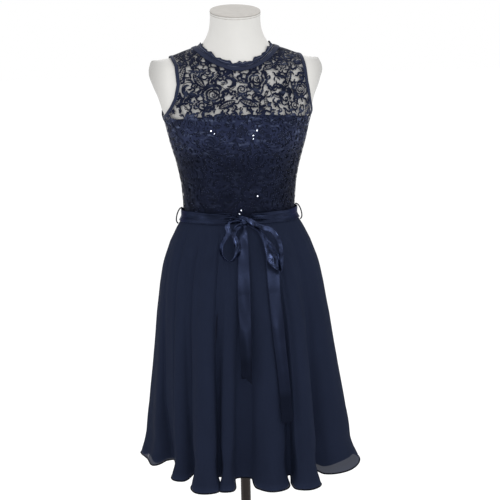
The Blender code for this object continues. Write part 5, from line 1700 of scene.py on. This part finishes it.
def zip_closure(look):
    """The concealed zip: two turned edges that meet, with the line between them, down the centre back."""
    rows = bodice_rows(40, 24, 8)
    line = over_body(rows, math.pi, lace_lift(rows) + ZIP_LIFT)
    waist, angle, out, seams = skirt_columns(SLIP_PITCH)
    below = []
    for share in np.linspace(ZIP_FROM, ZIP_SKIRT_SHARE, 30):
        below.append(skirt_surface(share, waist, angle, out)[seams[2]] + (0, ZIP_OUT, 0))
    line = np.concatenate([line, below])
    reach = smooth_rows(numbers(BODY_RINGS), rows)[:, 2]
    meets = np.abs(body(rows, math.pi - (ZIP_HALF_WIDTH + SEAM) / reach)[:, 0]) - ZIP_EASE
    half = np.concatenate([meets, np.full(len(below), ZIP_HALF_WIDTH)])
    columns = [line + np.stack([-side * half, rise + 0 * half, 0 * half], -1) for side, rise in ZIP_PROFILE]
    grid = np.stack(columns, axis=1)
    obj = cloth_piece("zip_lips", grid, look, "zip_strip", thick=ZIP_WALL)


# ---------------------------------------------------------------- sequins
SEQUINS = (
    # pixel x, pixel y, radius mm, bright
    (211.1, 131.1, 1.7, True),
    (214.4, 133.6, 0.9, True),
    (257.1, 130.4, 1.7, True),
    (253.4, 135.4, 1.5, True),
    (253.4, 138.6, 1.1, True),
    (252.3, 120.0, 0.9, False),
    (251.1, 127.6, 0.9, False),
    (257.4, 196.1, 1.5, True),
    (241.1, 210.3, 1.3, True),
    (239.5, 213.9, 1.2, True),
)


def camera_axes():
    """The camera's place, and its forward, right and up."""
    back = Vector((math.sin(CAMERA_AZIMUTH), -math.cos(CAMERA_AZIMUTH), 0))
    forward = (-back * math.cos(CAMERA_PITCH) + Vector((0, 0, -math.sin(CAMERA_PITCH)))).normalized()
    level = forward.cross(Vector((0, 0, 1))).normalized()
    upright = level.cross(forward)
    c, s = math.cos(CAMERA_ROLL), math.sin(CAMERA_ROLL)
    place = back * CAMERA_DISTANCE + Vector((0, 0, CAMERA_HEIGHT)) + level * CAMERA_SIDE
    return place, forward, level * c - upright * s, upright * c + level * s


def pixel_ray(x, y):
    """The camera's place and the direction that a pixel of the picture looks in."""
    place, forward, right, up = camera_axes()
    half = FRAME_PIXELS / 2
    x, y = (x - half) / CAMERA_FOCUS, (y - half) / CAMERA_FOCUS
    return place, (forward + right * x - up * y).normalized()


KEY_LIGHT = Vector((0.35, -3.0, 2.35))
SEQUIN_LIFT = 0.0011
SCATTER_LIFT = 0.0010
SEQUIN_SIDES = 14
SEQUIN_PROFILE = (
    # share of the radius, how far out
    (0.5, 0.0),
    (0.92, 0.00012),
    (1.0, 0.00020),
    (0.96, -0.0001),
)


def sequin_mesh(centre, normal, radius):
    """A small cupped disc."""
    normal = unit(np.asarray(normal, float))
    side = unit(np.cross(normal, (0.3, 0.1, 1.0)))
    up = np.cross(normal, side)
    turn = 2 * math.pi * np.arange(SEQUIN_SIDES) / SEQUIN_SIDES
    rim = side * np.cos(turn)[:, None] + up * np.sin(turn)[:, None]
    points = [centre + normal * 0.0001]
    for size, rise in SEQUIN_PROFILE:
        points.extend(centre + rim * radius * size + normal * rise)
    faces = [(1 + step, 1 + (step + 1) % SEQUIN_SIDES, 0) for step in range(SEQUIN_SIDES)]
    rings = np.roll(grid_faces(len(SEQUIN_PROFILE), SEQUIN_SIDES, ring=True, start=1), -1, axis=1)
    return np.array(points), faces + [tuple(face) for face in rings]


def sequins(painted_bright_look, dark_look):
    """The sequins that flash, each turned to throw the key light at the camera and painted bright with a
    silver copy of the sequin material, and the dark ones.
    """
    panel = LacePanel(lace_surface("front", 150))
    bright, dark = [], []
    for x, y, radius, lit in SEQUINS:
        place, ray = pixel_ray(x, y)
        found = panel.spot(place, ray)
        if found is None:
            continue
        centre, normal = found
        facing = normal
        if lit:
            to_camera, to_light = place - Vector(centre), KEY_LIGHT - Vector(centre)
            facing = np.array((to_camera.normalized() + to_light.normalized()).normalized())
        (bright if lit else dark).append(sequin_mesh(centre + normal * SEQUIN_LIFT, facing, radius * MM))
    pick = np.random.default_rng(3)
    for _, part in PANELS:
        panel = LacePanel(lace_surface(part, 60))
        middle, count = (0, 150) if part == "front" else (math.pi, 70)
        for _ in range(count):
            phi = pick.uniform(-1.55, 1.55) + middle
            z = pick.uniform(1.06, 1.25)
            out = np.array([math.sin(phi), -math.cos(phi), 0])
            found = panel.spot(out * 0.6 + (0, 0, z), -out)
            if found is None:
                continue
            centre, normal = found
            lean = unit(normal + pick.uniform(-0.35, 0.35, 3))
            dark.append(sequin_mesh(centre + normal * SCATTER_LIFT, lean, pick.uniform(0.5, 0.9) * MM))
    finish_piece(joined("sequins_bright", bright, painted_bright_look))
    finish_piece(joined("sequins_navy", dark, dark_look))


# ---------------------------------------------------------------- stage
SOFTBOXES = (
    # name, place, target, size, power in watts
    ("key", KEY_LIGHT, (0, 0, 1.1), (0.8, 0.6), 17),
    ("fill_left", (-2.6, -1.6, 1.7), (0, 0, 1.0), (1.0, 1.8), 5),
    ("fill_right", (2.6, -1.3, 1.6), (0, 0, 1.0), (1.0, 1.8), 5),
    ("back", (0.4, 2.8, 2.3), (0, 0, 1.0), (1.4, 1.2), 9),
)
SENSOR_WIDTH = 36.0


def stage_and_lights():
    """The white studio: a pale floor, a white world and four soft lights."""
    bpy.ops.mesh.primitive_plane_add(size=80, location=(0, 0, 0))
    floor = bpy.context.object
    floor.name = "floor"
    made, tree, shader, _ = new_material("pale_floor")
    feed(tree, shader, {
        "Base Color": (0.90, 0.90, 0.90, 1),
        "Roughness": 0.9,
        "Specular IOR Level": 0.0,
        "Emission Color": (1, 1, 1, 1),
        "Emission Strength": 0.16,
    })
    floor.data.materials.append(made)
    world = bpy.data.worlds.new("studio")
    bpy.context.scene.world = world
    world.use_nodes = True
    feed(world.node_tree, world.node_tree.nodes["Background"], {"Color": (1, 1, 1, 1), "Strength": 1.0})
    for name, place, target, size, power in SOFTBOXES:
        data = bpy.data.lights.new(name, "AREA")
        data.shape = "RECTANGLE"
        data.size, data.size_y = size
        data.energy = power
        lamp = bpy.data.objects.new(name, data)
        lamp.location = place
        lamp.rotation_mode = "QUATERNION"
        lamp.rotation_quaternion = (Vector(target) - Vector(place)).to_track_quat("-Z", "Y")
        bpy.context.scene.collection.objects.link(lamp)


def camera():
    """The camera of the photograph."""
    data = bpy.data.cameras.new("photo_camera")
    data.sensor_width = SENSOR_WIDTH
    data.lens = CAMERA_FOCUS / FRAME_PIXELS * SENSOR_WIDTH
    data.clip_end = 200.0
    obj = bpy.data.objects.new("photo_camera", data)
    place, forward, right, up = camera_axes()
    turn = Matrix((right, up, -forward)).transposed().to_4x4()
    obj.matrix_world = Matrix.Translation(place) @ turn
    bpy.context.scene.collection.objects.link(obj)
    bpy.context.scene.camera = obj


def dress_nodes(looks):
    """Better materials for the CAD nodes that stay."""
    for node, look in looks.items():
        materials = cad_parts[node].data.materials
        materials.clear()
        materials.append(look)


# ---------------------------------------------------------------- the looks, and the whole dress
CHIFFON = (0.0090, 0.0122, 0.0248)
LINING = (0.0080, 0.0100, 0.0200)
LACE = (0.0078, 0.0100, 0.0225)
SATIN = (0.0120, 0.0160, 0.0330)
COOL = (0.5, 0.6, 1.0)  # tint of the shine of lining and lace
# Heights and painted shades: the colour is painted lighter where the cloth faces up to the light and darker
# where it turns away, and the chiffon's hem band is painted lighter.
CHIFFON_PAINTED_SHADES = ((0.508, 1.35), (0.522, 1.0))
LINING_PAINTED_SHADES = ((1.06, 1.12), (1.165, 1.20), (1.205, 2.0))
YARN_PAINTED_SHADES = ((1.08, 0.76), (1.165, 0.88), (1.205, 1.95), (1.250, 1.85), (1.268, 0.86))
TAIL_PAINTED_SHADES = {
    "left": ((0.765, 0.62), (0.785, 0.95), (0.895, 1.00), (0.945, 1.80), (1.010, 2.40)),
    "right": ((0.692, 0.70), (0.706, 1.10), (0.800, 1.35), (0.890, 0.95), (0.935, 2.20), (1.010, 2.40)),
}


# The tails' satin: a darker, painted-shade copy of the ribbon's satin, with painted light and shade along
# their height.
def tail_satin_painted_shade(side):
    return cloth_material("satin_tail_painted_shade_" + side, scaled(SATIN, 0.66), 0.34, 3400, 0.06, 0.12, specular=0.1,
                          tint=(0.40, 0.45, 0.66), tone_and_painted_shade=0.10, metal=0.75, painted_shade_by_height=TAIL_PAINTED_SHADES[side])


def main():
    bpy.context.scene.view_settings.view_transform = "Standard"
    camera()
    stage_and_lights()
    # Painted light: the chiffon glows a little, more higher up, and its hem band is painted lighter.
    chiffon = cloth_material("chiffon", CHIFFON, 0.85, 2600, 0.12, 0.10, specular=0.02, alpha=0.957,
                             tone_and_painted_shade=0.06, slub=(1, 1, 0.35), painted_shade_by_height=CHIFFON_PAINTED_SHADES,
                             painted_glow=(0.55, 1.0, 0.34, 0.50))
    chiffon_edge = cloth_material("chiffon_edge", scaled(CHIFFON, 0.35), 0.8, 2000, 0.3, 0.1, specular=0.1)
    # Painted light and shade by height on the lining and the lace; the lace also gets painted highlight wisps
    # on the bust.
    lining = cloth_material("lining", LINING, 0.55, 3000, 0.2, 0.15, specular=0.10, tint=COOL, tone_and_painted_shade=0.08,
                            painted_shade_by_height=LINING_PAINTED_SHADES)
    net = cloth_material("lace_net", LACE, 0.85, 1400, 0.3, 0.1, specular=0.03, alpha=0.165)
    yarn = cloth_material("lace_yarn", LACE, 0.62, 1800, 0.6, 0.6, sheen=0.02, specular=0.08, tint=COOL,
                          tone_and_painted_shade=0.38, painted_shade_by_height=YARN_PAINTED_SHADES, painted_highlight_wisps=((0.080, 0.100, 0.168), 1.170))
    # The belt's satin: a strong uneven tone stretched into streaks, painted light and shade of its folds.
    satin = cloth_material("satin", SATIN, 0.26, 3400, 0.06, 0.10, specular=0.1, tint=(0.34, 0.37, 0.48),
                           tone_and_painted_shade=0.40, slub=(0.8, 0.8, 5.0), metal=0.75)
    # A lighter copy of the satin for the knot and loops, with strong patches of painted light and shade.
    bow_satin_painted_lit = cloth_material("satin_bow_painted_lit", scaled(SATIN, 1.95), 0.20, 3400, 0.06, 0.10, specular=0.1,
                               tint=(0.45, 0.50, 0.70), tone_and_painted_shade=0.82, slub=(2.6, 2.6, 2.6), metal=0.8)
    # Painted highlights: a light colour for the glints along the neck edging.
    glint = cloth_material("glint", (0.078, 0.092, 0.150), 0.5, 2400, 0.2, 0.2, specular=0.3)
    trim = cloth_material("trim", scaled(SATIN, 1.12), 0.6, 2200, 0.35, 0.35, sheen=0.05, specular=0.2,
                          tint=(0.55, 0.62, 1.0))
    thread = cloth_material("thread", scaled(SATIN, 0.6), 0.7, 1500, 0.5, 0.3, specular=0.3)
    # Grey for the cover's rim and seam lines: part seam, part painted shadow under the neck cap.
    seam = cloth_material("cover_seam_and_shadow", (0.36, 0.34, 0.315), 0.8, 1200, 0.2, 0.2, specular=0.1)
    wood, metal = wood_material(), metal_material()

    form_cover(jersey_material())
    neck_cap(cap_material(), seam)
    bodice_linings(lining)
    lace(net, yarn)
    armhole_bindings(trim, thread)
    neckline(trim, glint)
    skirt(chiffon, chiffon_edge)
    skirt_lining(lining)
    belt(satin)
    knot(bow_satin_painted_lit)
    bow_loop("bow_loop_left", LEFT_LOOP, 0.4, bow_satin_painted_lit)
    bow_loop("bow_loop_right", RIGHT_LOOP, 2.1, bow_satin_painted_lit)
    bow_tail("bow_tail_left", LEFT_TAIL, LEFT_TAIL_SLANT, 0.3, tail_satin_painted_shade("left"))
    bow_tail("bow_tail_right", RIGHT_TAIL, RIGHT_TAIL_SLANT, 1.9, tail_satin_painted_shade("right"))
    belt_loops(thread)
    zip_closure(trim)
    # The flashing sequins get a painted bright, silver copy of the sequin material.
    sequins(sequin_material("sequin_painted_bright", (0.80, 0.86, 1.0), 0.16),
            sequin_material("sequin_navy", (0.034, 0.041, 0.076), 0.35))
    woods = dict.fromkeys(("stand_base", "stand_socket", "stand_pole", "stand_flange"), wood)
    dress_nodes({**woods, "zip_slider": metal, "zip_pull_tab": metal})


main()
